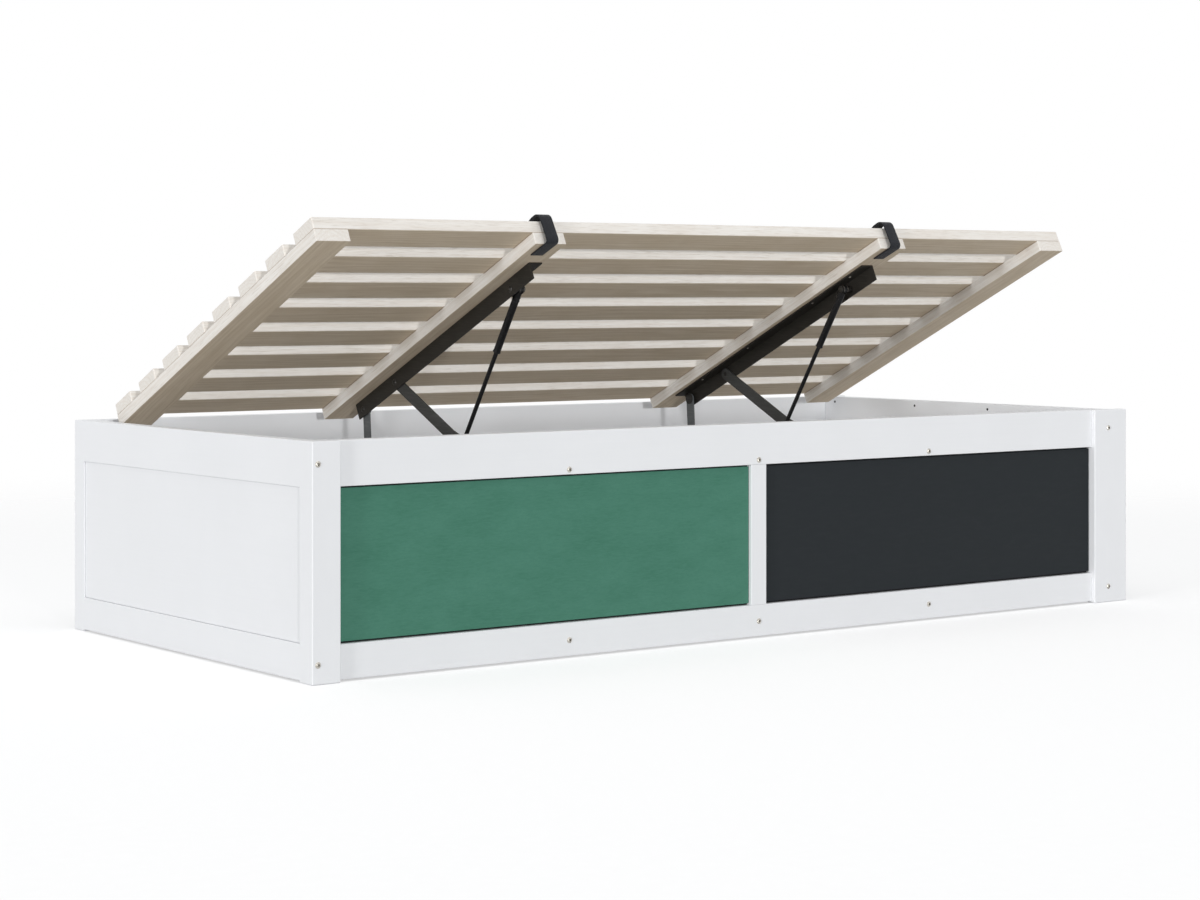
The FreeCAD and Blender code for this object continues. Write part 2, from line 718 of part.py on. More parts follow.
def cranked_bar(label, side, layer, thick, width, points, holes):
    """A flat bar through three points with rounded ends, in one layer of the mechanism."""
    pieces = []
    for index, (first, second) in enumerate(zip(points, points[1:])):
        along = math.atan2(number(second[1]) - number(first[1]), number(second[0]) - number(first[0]))
        turn = Rotation(Vector(0, 0, 1), math.degrees(along))
        corner = vector(first[0], first[1], 0) + turn.multVec(vector(0, -(width / 2), 0))
        pieces.append(primitive("Box", "%s_limb_%d" % (label, index),
                                {"Length": distance(first, second), "Width": width, "Height": thick},
                                Placement(corner, turn)))
    for index, point in enumerate(points):
        pieces.append(primitive("Cylinder", "%s_end_%d" % (label, index),
                                {"Radius": width / 2, "Height": thick},
                                Placement(vector(point[0], point[1], 0), UPWARD)))
    tools = []
    for index, (point, radius) in enumerate(holes):
        tools.append(primitive("Cylinder", "%s_hole_%d" % (label, index),
                               {"Radius": radius, "Height": thick + d.overrun * 2},
                               Placement(vector(point[0], point[1], -d.overrun), UPWARD)))
    bar = cut(label, fused(label + "_blank", pieces), tools)
    bar.Placement = Placement(vector(low_x(side, layer, layer + thick), 0, 0), SIDE_ON)
    return keep(bar, label)


arm_top = raised(d.arm_pivot_run, arm_pin_drop)
link_top = raised(d.link_pivot_run, link_pin_drop)
strut_top = raised(strut_pivot_run, strut_pin_drop)
loose_hole = d.loose_pin_radius + d.loose_pin_play
for end, side in SIDES:
    cranked_bar("%s_lift_arm" % end, side, arm_layer, d.arm_thick, d.arm_width,
                [arm_top, arm_knee, arm_base], [(arm_top, pin_hole), (arm_base, pin_hole)])
    cranked_bar("%s_rear_link" % end, side, link_layer, d.link_thick, d.link_width,
                [link_top, link_knee, link_base], [(link_top, loose_hole), (link_base, pin_hole)])

# Base plates, each with a leg down to the strut's foot
plate_front = arm_base[0] - d.plate_end_margin
plate_back = link_base[0] + d.plate_end_margin
plate_top = arm_base[1] + d.plate_top_margin
plate_foot = plate_top - d.plate_height
leg_foot = strut_base[1] - d.plate_leg_margin
leg_front = strut_base[0] - d.plate_leg_width / 2
leg_back = leg_front + d.plate_leg_width
partition_top = d.bed_height - d.partition_drop
plate_screw_level = plate_foot + d.plate_screw_margin
plate_screw_places = [(plate_front + d.plate_screw_margin, plate_screw_level),
                      (leg_back + d.plate_screw_margin, plate_screw_level),
                      (plate_back - d.plate_screw_margin, plate_screw_level),
                      (leg_back - d.plate_screw_margin, leg_foot + d.plate_screw_margin)]
for end, side in SIDES:
    label = "%s_base_plate" % end
    outline = [(leg_front, leg_foot), (leg_back, leg_foot), (leg_back, plate_foot), (plate_back, plate_foot),
               (plate_back, plate_top), (plate_front, plate_top), (plate_front, plate_foot),
               (leg_front, plate_foot)]
    shifted = [(y - plate_front, z - leg_foot) for y, z in outline]
    plate = keep(pad(label, "YZ_Plane", shifted, d.plate_thick), label)
    for spot, radius in [(arm_base, pin_hole), (link_base, pin_hole)] + \
                        [(spot, screw_hole) for spot in plate_screw_places]:
        start = vector(-d.overrun, spot[0] - plate_front, spot[1] - leg_foot)
        drill(plate, radius, d.plate_thick + d.overrun * 2, start, ALONG_X)
    plate.Placement = Placement(vector(low_x(side, plate_layer, plate_inside), plate_front, leg_foot), UPWARD)

# Partitions that carry the base plates
partition_front = front_rail_back + d.upright_depth
partition_outside = plate_layer - d.partition_thick
for end, side in SIDES:
    partition_low = low_x(side, partition_outside, plate_layer)
    wall = board("%s_partition" % end, "YZ_Plane", back_wall - partition_front, partition_top - floor_top,
                 d.partition_thick, vector(partition_low, partition_front, floor_top), d.board_rounding)
    mouth = d.partition_thick + d.overrun if side == LEFT else -d.overrun
    for spot in plate_screw_places:
        start = vector(mouth, spot[0] - partition_front, spot[1] - floor_top)
        drill(wall, screw_hole, d.screw_length - d.plate_thick + d.overrun * 2, start,
              AGAINST_X if side == LEFT else ALONG_X)

# Struts: an upper eye with sleeve and rod, and a lower cylinder that slides in the sleeve
lean = math.degrees(math.atan2(number(strut_top[1]) - number(strut_base[1]),
                               number(strut_top[0]) - number(strut_base[0])))
UP_STRUT = Rotation(Vector(1, 0, 0), lean - 90)
DOWN_STRUT = Rotation(Vector(1, 0, 0), lean + 90)
rod_length = distance(strut_base, strut_top) - d.cylinder_length + d.rod_overlap
sleeve_bore = d.sleeve_radius - d.sleeve_wall
sleeve_start = d.rivet_head_radius + d.rest_gap
for end, side in SIDES:
    axis_x = unit_x(side, d.strut_axis_depth)
    half_eye = Placement(vector(-(d.strut_eye_width / 2), 0, 0), ALONG_X)
    eye_sizes = {"Radius": d.strut_eye_radius, "Height": d.strut_eye_width}
    name = "%s_strut_rod" % end
    sleeve = primitive("Cylinder", name + "_sleeve",
                       {"Radius": d.sleeve_radius, "Height": d.sleeve_length - sleeve_start},
                       Placement(vector(0, 0, sleeve_start), UPWARD))
    hollow_start = sleeve_start + d.sleeve_cap
    hollow = primitive("Cylinder", name + "_hollow", {"Radius": sleeve_bore, "Height": d.sleeve_length},
                       Placement(vector(0, 0, hollow_start), UPWARD))
    rod = primitive("Cylinder", name + "_shaft", {"Radius": d.rod_radius, "Height": rod_length})
    eye = primitive("Cylinder", name + "_eye", eye_sizes, half_eye)
    hole = primitive("Cylinder", name + "_hole",
                     {"Radius": pin_hole, "Height": d.strut_eye_width + d.overrun * 2},
                     Placement(vector(-(d.strut_eye_width / 2 + d.overrun), 0, 0), ALONG_X))
    tube = cut(name + "_tube", sleeve, [hollow])
    upper = cut(name, fused(name + "_whole", [tube, rod, eye]), [hole])
    upper.Placement = Placement(vector(axis_x, strut_top[0], strut_top[1]), DOWN_STRUT)
    keep(upper, name)

    name = "%s_strut_cylinder" % end
    barrel = primitive("Cylinder", name + "_barrel",
                       {"Radius": d.cylinder_radius, "Height": d.cylinder_length})
    bore = primitive("Cylinder", name + "_bore",
                     {"Radius": d.rod_radius + d.strut_play, "Height": d.cylinder_length},
                     Placement(vector(0, 0, d.cylinder_foot), UPWARD))
    eye = primitive("Cylinder", name + "_eye", eye_sizes, half_eye)
    stud_length = eye_layer - plate_inside - d.layer_gap
    stud_start = d.strut_eye_width / 2 * side
    stud = primitive("Cylinder", name + "_stud", {"Radius": d.loose_pin_radius, "Height": stud_length},
                     Placement(vector(stud_start, 0, 0), ALONG_X if side == RIGHT else AGAINST_X))
    lower = cut(name, fused(name + "_whole", [barrel, eye, stud]), [bore])
    lower.Placement = Placement(vector(axis_x, strut_base[0], strut_base[1]), UP_STRUT)
    keep(lower, name)

# Pivot pins: riveted in the angles, and in the base plates
arm_rivet = screw("arm_rivet", d.rivet_head_radius, d.rivet_head_rise, d.pin_radius, arm_inside)
link_shank = screw("link_rivet_shank", d.rivet_head_radius, d.rivet_head_rise, d.loose_pin_radius,
                   plate_layer)
link_washer = primitive("Cylinder", "link_rivet_washer",
                        {"Radius": d.loose_washer_radius, "Height": d.washer_thick},
                        Placement(vector(0, 0, -(plate_layer + d.washer_thick)), UPWARD))
link_rivet = fused("link_rivet", [link_shank, link_washer])
strut_shank = screw("strut_rivet_shank", d.rivet_head_radius, d.rivet_head_rise, d.pin_radius,
                    eye_inside + d.layer_gap)
strut_washer = primitive("Cylinder", "strut_rivet_washer",
                         {"Radius": d.rivet_head_radius, "Height": d.washer_thick},
                         Placement(vector(0, 0, -(eye_inside + d.layer_gap + d.washer_thick)), UPWARD))
strut_rivet = fused("strut_rivet", [strut_shank, strut_washer])
rivets = []
for end, side in SIDES:
    outward = ALONG_X if side == RIGHT else AGAINST_X
    for pattern, spot in ((arm_rivet, arm_top), (link_rivet, link_top), (strut_rivet, strut_top)):
        rivets.append((pattern, Placement(vector(unit_x(side, 0), spot[0], spot[1]), outward)))
group("platform_pivots", rivets)

arm_pin = screw("arm_pin", d.rivet_head_radius, d.base_pin_head_rise, d.pin_radius,
                plate_inside - arm_layer)
link_pin = screw("link_pin", d.rivet_head_radius, d.base_pin_head_rise, d.pin_radius,
                 plate_inside - link_layer)
pins = []
for end, side in SIDES:
    inward = AGAINST_X if side == RIGHT else ALONG_X
    for pattern, spot in ((arm_pin, arm_base), (link_pin, link_base)):
        pins.append((pattern, Placement(vector(unit_x(side, plate_inside), spot[0], spot[1]), inward)))
group("base_pivots", pins)

# Bolts through the posts and the front rails
left_bolt = screw("left_post_bolt", d.bolt_head_radius, d.bolt_head_rise, d.bolt_radius,
                  d.post_depth + d.bolt_bite)
right_bolt = screw("right_post_bolt", d.bolt_head_radius, d.bolt_head_rise, d.bolt_radius,
                   d.right_post_depth + d.bolt_bite)
rail_bolt = screw("rail_bolt", d.bolt_head_radius, d.bolt_head_rise, d.bolt_radius,
                  d.front_rail_thick + d.bolt_bite)
bolts = []
for level in post_bolt_levels:
    for pattern, bolt_x in ((left_bolt, left_bolt_x), (right_bolt, right_bolt_x)):
        bolts.append((pattern, Placement(vector(bolt_x, -half_width, level), AGAINST_Y)))
        bolts.append((pattern, Placement(vector(bolt_x, half_width, level), ALONG_Y)))
for level in rail_bolt_levels:
    for place in upright_places:
        bolts.append((rail_bolt, Placement(vector(place, front_rail_face, level), AGAINST_Y)))
group("frame_bolts", bolts)

# Small dark screws: in the right end, through the base plates and through the angles' flanges
wood_screw = screw("wood_screw", d.screw_head_radius, d.screw_head_rise, d.screw_radius, d.screw_length)
screws = []
for place in end_screw_places:
    spot = vector(right_end_inner, place - right_post_back, end_screw_level)
    screws.append((wood_screw, Placement(spot, AGAINST_X)))
for end, side in SIDES:
    inward = AGAINST_X if side == RIGHT else ALONG_X
    for spot in plate_screw_places:
        screws.append((wood_screw, Placement(vector(unit_x(side, plate_inside), spot[0], spot[1]), inward)))
group("wood_screws", screws)
flange_drop = base_thick + d.angle_thick
FACING_DOWN = TILTED.multiply(DOWNWARD)
flange_screws = []
for end, side in SIDES:
    screw_x = unit_x(side, d.angle_screw_depth)
    for run in angle_screw_runs:
        flange_screws.append((wood_screw, Placement(raised_vector(screw_x, run, flange_drop), FACING_DOWN)))
group("angle_screws", flange_screws)

# Checks, then one file for each piece
doc.recompute()
for item in doc.Objects:
    if "Invalid" in item.State or "Error" in item.State:
        raise RuntimeError("%s did not compute: %s" % (item.Label, item.State))
for piece in nodes:
    if piece.Shape.isNull() or not piece.Shape.isValid() or not piece.Shape.Solids:
        raise RuntimeError("%s has no valid solid" % piece.Label)
os.makedirs("parts", exist_ok=True)
for piece in nodes:
    piece.Shape.exportStep("parts/%s.step" % piece.Label)
    print("%-24s %2d solids %12.0f mm3" % (piece.Label, len(piece.Shape.Solids), piece.Shape.Volume))
print(len(nodes), "pieces")
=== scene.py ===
# %% [markdown]
# A single storage bed with its slatted base propped open. The boards, the slats and the steel lift
# mechanism were drawn in CAD, and each arrives here as its own piece in metres, already in place.
# Blender's job is the finish: paint, timber, felt, steel and webbing. It also models the few small
# or soft things that CAD leaves plain, such as the pull straps and the drives in the fastener
# heads.

# %% Load the bed
import math

import bmesh
import bpy
from mathutils import Matrix, Vector


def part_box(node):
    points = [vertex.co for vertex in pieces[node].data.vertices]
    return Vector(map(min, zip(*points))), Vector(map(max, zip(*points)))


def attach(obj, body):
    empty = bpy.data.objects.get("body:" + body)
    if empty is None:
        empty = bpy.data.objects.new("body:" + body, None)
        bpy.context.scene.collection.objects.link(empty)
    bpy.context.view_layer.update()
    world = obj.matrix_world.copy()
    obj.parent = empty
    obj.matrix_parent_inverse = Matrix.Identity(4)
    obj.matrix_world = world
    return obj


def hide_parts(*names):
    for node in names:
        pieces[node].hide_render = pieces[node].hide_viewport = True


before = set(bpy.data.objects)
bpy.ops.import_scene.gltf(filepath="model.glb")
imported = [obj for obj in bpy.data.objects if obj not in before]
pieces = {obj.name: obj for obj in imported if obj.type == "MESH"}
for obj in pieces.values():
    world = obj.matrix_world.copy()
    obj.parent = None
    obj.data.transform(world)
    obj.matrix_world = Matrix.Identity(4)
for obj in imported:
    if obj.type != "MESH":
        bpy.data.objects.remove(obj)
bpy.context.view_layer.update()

# %% [markdown]
# The camera comes first, because every later choice is judged through it. It stands a little above
# the closed bed, level, and looks across the front-left corner. A level camera with a lens shift
# keeps the posts upright in the picture. Tilting it down would frame the bed too, but the posts
# would lean.

# %% Camera
lens = bpy.data.cameras.new("corner_view")
lens.sensor_width = 36
lens.lens = 77.3747
lens.shift_y = -0.131836
camera = bpy.data.objects.new("corner_view", lens)
camera.location = (-3.44785, -4.51528, 0.70948)
camera.rotation_euler = (math.radians(90), 0, math.radians(-36.83128))
bpy.context.scene.collection.objects.link(camera)
bpy.context.scene.camera = camera
bpy.context.scene.view_settings.view_transform = "Standard"
print("Camera", tuple(round(place, 2) for place in camera.location))

# %% [markdown]
# Materials and the world are node trees. Each of these small helpers adds one node, sets its values
# and links its inputs in a single line, so the recipes below read like lists of ingredients.

# %% Helpers for node trees
def put(tree, kind, inputs=None, **settings):
    """Adds a shader node. Inputs are plain values or the outputs of other nodes."""
    made = tree.nodes.new("ShaderNode" + kind)
    for name, value in settings.items():
        setattr(made, name, value)
    for socket, value in (inputs or {}).items():
        if isinstance(value, bpy.types.NodeSocket):
            tree.links.new(value, made.inputs[socket])
        else:
            made.inputs[socket].default_value = value
    return made


def math_node(tree, operation, first, second=0.0):
    """One sum on one or two values."""
    return put(tree, "Math", {0: first, 1: second}, operation=operation).outputs[0]


def times(tree, first, second):
    """One value multiplied by another."""
    return math_node(tree, "MULTIPLY", first, second)


def noise(tree, place, scale, detail, **more):
    """Soft noise from 0 to 1. More are other inputs of the noise node."""
    inputs = {"Vector": place, "Scale": scale, "Detail": detail, **more}
    return put(tree, "TexNoise", inputs).outputs[0]


def mapping(tree, place, way="POINT", **values):
    """A place after a move, a turn or a stretch. The way TEXTURE does the reverse of POINT."""
    return put(tree, "Mapping", {"Vector": place, **values}, vector_type=way).outputs[0]


def rescale(tree, value, low, high, to_low=0.0, to_high=1.0):
    """Maps a range of values onto another one, and holds it there at both ends."""
    spread = {"Value": value, "From Min": low, "From Max": high,
              "To Min": to_low, "To Max": to_high}
    return put(tree, "MapRange", spread).outputs[0]


def mixed(tree, share, first, second, way="MIX"):
    """Mixes two colours. At a share of 1 the second one covers the first."""
    node = put(tree, "Mix", data_type="RGBA", blend_type=way)
    for index, value in ((0, share), (6, first), (7, second)):
        if isinstance(value, bpy.types.NodeSocket):
            tree.links.new(value, node.inputs[index])
        else:
            node.inputs[index].default_value = value
    return node.outputs[2]


def paint(red, green, blue):
    """A colour as read off a screen, 0 to 255, turned into the linear light that shaders use."""
    return tuple((c / 255 / 12.92 if c < 11 else ((c / 255 + 0.055) / 1.055) ** 2.4)
                 for c in (red, green, blue)) + (1.0,)


print("Node helpers ready; mid grey is", round(paint(128, 128, 128)[0], 3))

# %% [markdown]
# The picture has a plain white surround and very soft light. A pale dome lights everything evenly.
# Two low lights, from the front and from the left, give the upright faces their tone, and a wide
# lamp overhead fills the box. The low ones are suns, because a lamp close by would leave the front
# darker along its length. The front one is so low that it shines in under the raised base and
# lights the edge of each slat behind the gap before it. Rays that reach the dome straight from the
# camera, or by a reflection, see pure white instead, so the white surround adds no light to matt
# surfaces.

# %% Dome and lamps
studio = bpy.data.worlds.new("studio")
studio.use_nodes = True
bpy.context.scene.world = studio
sky = studio.node_tree
sky.nodes.clear()
rays = put(sky, "LightPath").outputs
seen = math_node(sky, "MAXIMUM", rays["Is Camera Ray"], rays["Is Glossy Ray"])
seen = math_node(sky, "MAXIMUM", seen, rays["Is Transmission Ray"])
dome_light = put(sky, "Background", {"Color": (0.97, 0.985, 1.0, 1.0), "Strength": 0.53})
surround = put(sky, "Background", {"Color": (1.0, 1.0, 1.0, 1.0), "Strength": 1.0})
chosen = put(sky, "MixShader", {0: seen, 1: dome_light.outputs[0], 2: surround.outputs[0]})
put(sky, "OutputWorld", {"Surface": chosen.outputs[0]})


def hang(light, place, target):
    """Puts a light in the scene so that it shines from its place towards the target."""
    holder = bpy.data.objects.new(light.name, light)
    holder.location = place
    holder.rotation_euler = (Vector(target) - Vector(place)).to_track_quat("-Z", "Y").to_euler()
    bpy.context.scene.collection.objects.link(holder)


BED_MIDDLE = (0, 0, 0.3)
# Name, place, power, and the width of the disc in degrees
LOW_SUNS = [("front_light", (-2.48, -9.6, 0.906), 1.04, 5),
            ("left_light", (-9.7, -2.42, 1.08), 1.21, 10)]
for name, place, power, disc in LOW_SUNS:
    low_sun = bpy.data.lights.new(name, "SUN")
    low_sun.energy = power
    low_sun.angle = math.radians(disc)
    hang(low_sun, place, BED_MIDDLE)
overhead = bpy.data.lights.new("overhead_lamp", "AREA")
overhead.shape = "RECTANGLE"
overhead.size, overhead.size_y = 7.0, 6.0
overhead.energy = 122
hang(overhead, (-1.0, -1.0, 6.5), BED_MIDDLE)
print("One dome and", len(bpy.data.lights), "lights")

# %% [markdown]
# The floor is a round sheet that fades out at a few metres, so no horizon shows behind the bed. A
# floor that ran on for ever would draw a line across the picture. To the camera it glows a little,
# which brings it up to the white of the surround and still lets the bed's shadow show.

# %% Floor
FLOOR_RADIUS = 7
FADE_START = 1.6
FADE_END = 5.0
FLOOR_GLOW = 0.51
floor_mesh = bmesh.new()
bmesh.ops.create_circle(floor_mesh, cap_ends=True, segments=96, radius=FLOOR_RADIUS)
floor_data = bpy.data.meshes.new("studio_floor")
floor_mesh.to_mesh(floor_data)
floor_mesh.free()
studio_floor = bpy.data.objects.new("studio_floor", floor_data)
bpy.context.scene.collection.objects.link(studio_floor)

pale_floor = bpy.data.materials.new("pale_floor")
pale_floor.use_nodes = True
tree = pale_floor.node_tree
tree.nodes.clear()
spot = put(tree, "TexCoord").outputs["Object"]
reach = put(tree, "VectorMath", {0: spot}, operation="LENGTH").outputs["Value"]
fade = put(tree, "MapRange", {"Value": reach, "From Min": FADE_START, "From Max": FADE_END},
           interpolation_type="SMOOTHSTEP").outputs[0]
speckle = noise(tree, spot, 40.0, 4.0)
floor_tone = mixed(tree, speckle, (0.60, 0.60, 0.60, 1), (0.63, 0.63, 0.63, 1))
matt = put(tree, "BsdfDiffuse", {"Color": floor_tone})
rays = put(tree, "LightPath").outputs
seen = math_node(tree, "MAXIMUM", rays["Is Camera Ray"], rays["Is Glossy Ray"])
glow = put(tree, "Emission", {"Strength": times(tree, seen, FLOOR_GLOW)})
lit = put(tree, "AddShader", {0: matt.outputs[0], 1: glow.outputs[0]})
clear = put(tree, "BsdfTransparent")
mix = put(tree, "MixShader", {0: fade, 1: lit.outputs[0], 2: clear.outputs[0]})
put(tree, "OutputMaterial", {"Surface": mix.outputs[0]})
floor_data.materials.append(pale_floor)
print("Floor disc of", len(floor_data.vertices), "corners")

# %% [markdown]
# Several finishes need the same few effects, so each effect is a node group that is built once: a
# cloudy tone for the small unevenness of any real surface, a mask along edges, which some finishes
# use for wear where hands and tools rub and others for a painted highlight, a mask of painted shade
# for the thin line in a corner between two boards, found by ambient occlusion, and a timber grain.
# A group only hands out masks and heights. Each material decides what to do with them.

# %% Start of an effect group
def effect(name, inputs, outputs):
    """Starts a node group. Returns the group, the values it is given and the node that ends it."""
    group = bpy.data.node_groups.new(name, "ShaderNodeTree")
    for socket, kind, value in inputs:
        made = group.interface.new_socket(name=socket, in_out="INPUT",
                                          socket_type="NodeSocket" + kind)
        if value is not None:
            made.default_value = value
    for socket in outputs:
        group.interface.new_socket(name=socket, in_out="OUTPUT", socket_type="NodeSocketFloat")
    return group, group.nodes.new("NodeGroupInput").outputs, group.nodes.new("NodeGroupOutput")


def give(group, end, **values):
    """Links the masks and heights that an effect hands out."""
    for socket, value in values.items():
        group.links.new(value, end.inputs[socket])
    print("Effect", group.name, "gives", ", ".join(values))


def use(tree, group, **inputs):
    """Places an effect in a material with its own values, and returns its outputs."""
    return put(tree, "Group", inputs, node_tree=group).outputs


# %% Cloudy tone
cloudy_inputs = [("Place", "Vector", None), ("Scale", "Float", 5.0), ("Fine", "Float", 60.0)]
cloudy, given, end = effect("cloudy_tone", cloudy_inputs, ["Tone", "Grit"])
broad = noise(cloudy, given["Place"], given["Scale"], 5.0, Roughness=0.6)
small = noise(cloudy, given["Place"], given["Fine"], 3.0)
give(cloudy, end, Tone=rescale(cloudy, broad, 0.3, 0.7), Grit=small)

# %% Edges: wear and painted highlight
# One mask along edges: wear on steel, board and plating, and a painted highlight on lacquer and
# wood.
edge_mask_inputs = [("Width", "Float", 0.003), ("Place", "Vector", None)]
edge_wear_and_highlight, given, end = effect("edge_wear_and_highlight_mask", edge_mask_inputs, ["Mask"])
rounded = put(edge_wear_and_highlight, "Bevel", {"Radius": given["Width"]}, samples=4).outputs[0]
facing = put(edge_wear_and_highlight, "NewGeometry").outputs["Normal"]
agreed = put(edge_wear_and_highlight, "VectorMath", {0: rounded, 1: facing},
             operation="DOT_PRODUCT").outputs["Value"]
near_edge = rescale(edge_wear_and_highlight, agreed, 0.995, 0.80)
patchy = noise(edge_wear_and_highlight, given["Place"], 55.0, 3.0)
give(edge_wear_and_highlight, end, Mask=times(edge_wear_and_highlight, near_edge, rescale(edge_wear_and_highlight, patchy, 0.35, 0.65)))

# %% Painted shade in corners
corners, given, end = effect("painted_corner_shade", [("Reach", "Float", 0.003)], ["Mask"])
# Painted shade: ambient occlusion finds inner corners, so finishes can darken them as shade would.
openness = put(corners, "AmbientOcclusion", {"Distance": given["Reach"]}, samples=6).outputs["AO"]
give(corners, end, Mask=rescale(corners, openness, 0.80, 0.45))

# %% [markdown]
# Timber grain runs along a board's length. Growth rings are cylinders round the middle of the
# trunk, so a board sawn from it shows long stripes on its faces and arcs on its ends. Measuring the
# distance from an imagined trunk line gives both at once. Stretched noise adds the fine fibres
# between the rings.

# %% Timber grain
timber_inputs = [("Place", "Vector", None), ("Board", "Float", 0.0), ("Ring", "Float", 0.007)]
timber, given, end = effect("timber_grain", timber_inputs, ["Ring", "Fibre", "Pore"])
own = put(timber, "TexWhiteNoise", {"W": given["Board"]}, noise_dimensions="1D").outputs["Color"]
chance = put(timber, "SeparateColor", {0: own}).outputs
shift = put(timber, "VectorMath", {0: own, 3: 7.0}, operation="SCALE").outputs[0]
moved = put(timber, "VectorMath", {0: given["Place"], 1: shift}, operation="ADD").outputs[0]


def stretched(scale, detail):
    """Noise drawn out along the board."""
    return noise(timber, mapping(timber, moved, Scale=scale), 1.0, detail)


part = put(timber, "SeparateXYZ", {0: given["Place"]}).outputs
across = math_node(timber, "ADD", part["Y"], rescale(timber, chance[0], 0.0, 1.0, -0.04, 0.04))
deep = math_node(timber, "ADD", part["Z"], rescale(timber, chance[1], 0.0, 1.0, 0.02, 0.08))
trunk = put(timber, "CombineXYZ", {"X": across, "Y": deep}).outputs[0]
out_from_trunk = put(timber, "VectorMath", {0: trunk}, operation="LENGTH").outputs["Value"]
wander = rescale(timber, stretched((1.3, 11.0, 11.0), 3.0), 0.25, 0.75, -1.6, 1.6)
turns = math_node(timber, "ADD", math_node(timber, "DIVIDE", out_from_trunk, given["Ring"]), wander)
wave = math_node(timber, "SINE", times(timber, turns, 2 * math.pi))
late = math_node(timber, "POWER", rescale(timber, wave, -1.0, 1.0), 2.2)
fibre = rescale(timber, stretched((7.0, 260.0, 260.0), 4.0), 0.28, 0.72)
pore = rescale(timber, stretched((28.0, 900.0, 900.0), 2.0), 0.56, 0.70)
give(timber, end, Ring=late, Fibre=fibre, Pore=pore)

# %% [markdown]
# Every finish ends in one Principled shader. This helper starts a material, sets the values that
# are the same all over straight on the shader, and hands back the tree and the place on the piece
# in metres.

# %% Start of a finish
def finish_start(name, **constants):
    """Starts a material. The constants are shader values that are the same all over."""
    made = bpy.data.materials.new(name)
    made.use_nodes = True
    tree = made.node_tree
    tree.nodes.clear()
    shader = put(tree, "BsdfPrincipled")
    for socket, value in constants.items():
        shader.inputs[socket.replace("_", " ")].default_value = value
    put(tree, "OutputMaterial", {"Surface": shader.outputs[0]})
    return made, tree, shader, put(tree, "TexCoord").outputs["Object"]


def finish_end(made, tree, shader, colour, roughness, height, depth, strength=1.0):
    """Links colour and roughness, and turns a height into a bump that is depth metres deep."""
    bump = put(tree, "Bump", {"Height": height, "Distance": depth, "Strength": strength}).outputs[0]
    for socket, value in (("Base Color", colour), ("Roughness", roughness), ("Normal", bump)):
        tree.links.new(value, shader.inputs[socket])
    print("Finish", made.name)
    return made


# %% [markdown]
# The frame is painted with a satin white lacquer over wood. Real lacquer isn't a flat white: the
# roller leaves a fine skin, and the grain underneath just shows along each board. The edges are a
# little smoother and get a painted highlight, and a painted shade line darkens the inner corners.
# One recipe serves three directions of grain, for rails, posts and the two ends.

# %% White lacquer
ALONG = {"x": (0.0, 0.0, 0.0),
         "y": (0.0, 0.0, math.radians(-90)),
         "z": (0.0, math.radians(90), 0.0)}


def white_lacquer(direction):
    """Lacquer over boards whose grain runs along the given axis."""
    made, tree, shader, place = finish_start("white_lacquer_" + direction, Specular_IOR_Level=0.4)
    laid = mapping(tree, place, Rotation=ALONG[direction])
    grain = use(tree, timber, Place=laid, Board=3.0, Ring=0.011)
    cloud = use(tree, cloudy, Place=place, Scale=3.0, Fine=700.0)
    edge = use(tree, edge_wear_and_highlight, Place=place, Width=0.0025)["Mask"]
    tone = mixed(tree, cloud["Tone"], paint(231, 232, 234), paint(235, 236, 238))
    telegraphed = times(tree, grain["Fibre"], 0.12)
    tone = mixed(tree, telegraphed, tone, paint(225, 226, 228))
    # Painted highlight: the edges are lightened.
    tone = mixed(tree, times(tree, edge, 0.15), tone, paint(241, 241, 242))
    # Painted shade: a grey line in the inner corners and joints.
    joint_shade = use(tree, corners, Reach=0.0035)["Mask"]
    tone = mixed(tree, times(tree, joint_shade, 0.45), tone, paint(168, 170, 174))
    rough = rescale(tree, cloud["Tone"], 0.0, 1.0, 0.40, 0.50)
    rough = math_node(tree, "SUBTRACT", rough, times(tree, edge, 0.08))
    skin = math_node(tree, "ADD", cloud["Grit"], times(tree, grain["Fibre"], 0.3))
    return finish_end(made, tree, shader, tone, rough, skin, 0.0002, 0.18)


lacquer = {direction: white_lacquer(direction) for direction in ALONG}

# %% [markdown]
# The slats and battens are softwood under a thin whitewash. The wash fills the soft early wood, and
# the late rings and fibres show through it as fine warm lines. The undersides get a darker, browner
# copy of the same wood, chosen by the surface's own direction: this is painted shade. Edges get a
# painted highlight, and the corners where boards meet get a painted shade line. Each board gets its
# own seed, so no two share a pattern, and the grain is laid in the tilted plane of the raised base.

# %% Whitewashed timber
TILT = math.radians(-25)
REAR_EDGE = Vector((0.0, 0.432, 0.4728))
BASE_DEPTH = 0.89
SLAT_COUNT = 8
SLAT_WIDTH = 0.074
SLAT_THICK = 0.025
SLAT_PITCH = (BASE_DEPTH - SLAT_WIDTH) / (SLAT_COUNT - 1)
SLAT_RUNS = [SLAT_WIDTH / 2 + SLAT_PITCH * number for number in range(SLAT_COUNT)]
BATTENS = ("left_end_batten", "left_middle_batten", "right_middle_batten", "right_end_batten")
GRAIN_TURN = {"slat": 0.0, "batten": math.radians(90)}


def middle_across(name):
    """The middle of a CAD piece's box, from the bed's left to its right."""
    low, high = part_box(name)
    return (low.x + high.x) / 2


BATTEN_MIDDLES = [middle_across(name) for name in BATTENS]


def grained(tree, grain, cloud, low, high, dark):
    """One coat over the grain: two tones of the coat, and the wood that shows through it."""
    coat = mixed(tree, cloud["Tone"], low, high)
    coat = mixed(tree, times(tree, grain["Ring"], 0.24), coat, dark)
    coat = mixed(tree, times(tree, grain["Fibre"], 0.34), coat, dark)
    return mixed(tree, times(tree, grain["Pore"], 0.30), coat, paint(166, 146, 120))


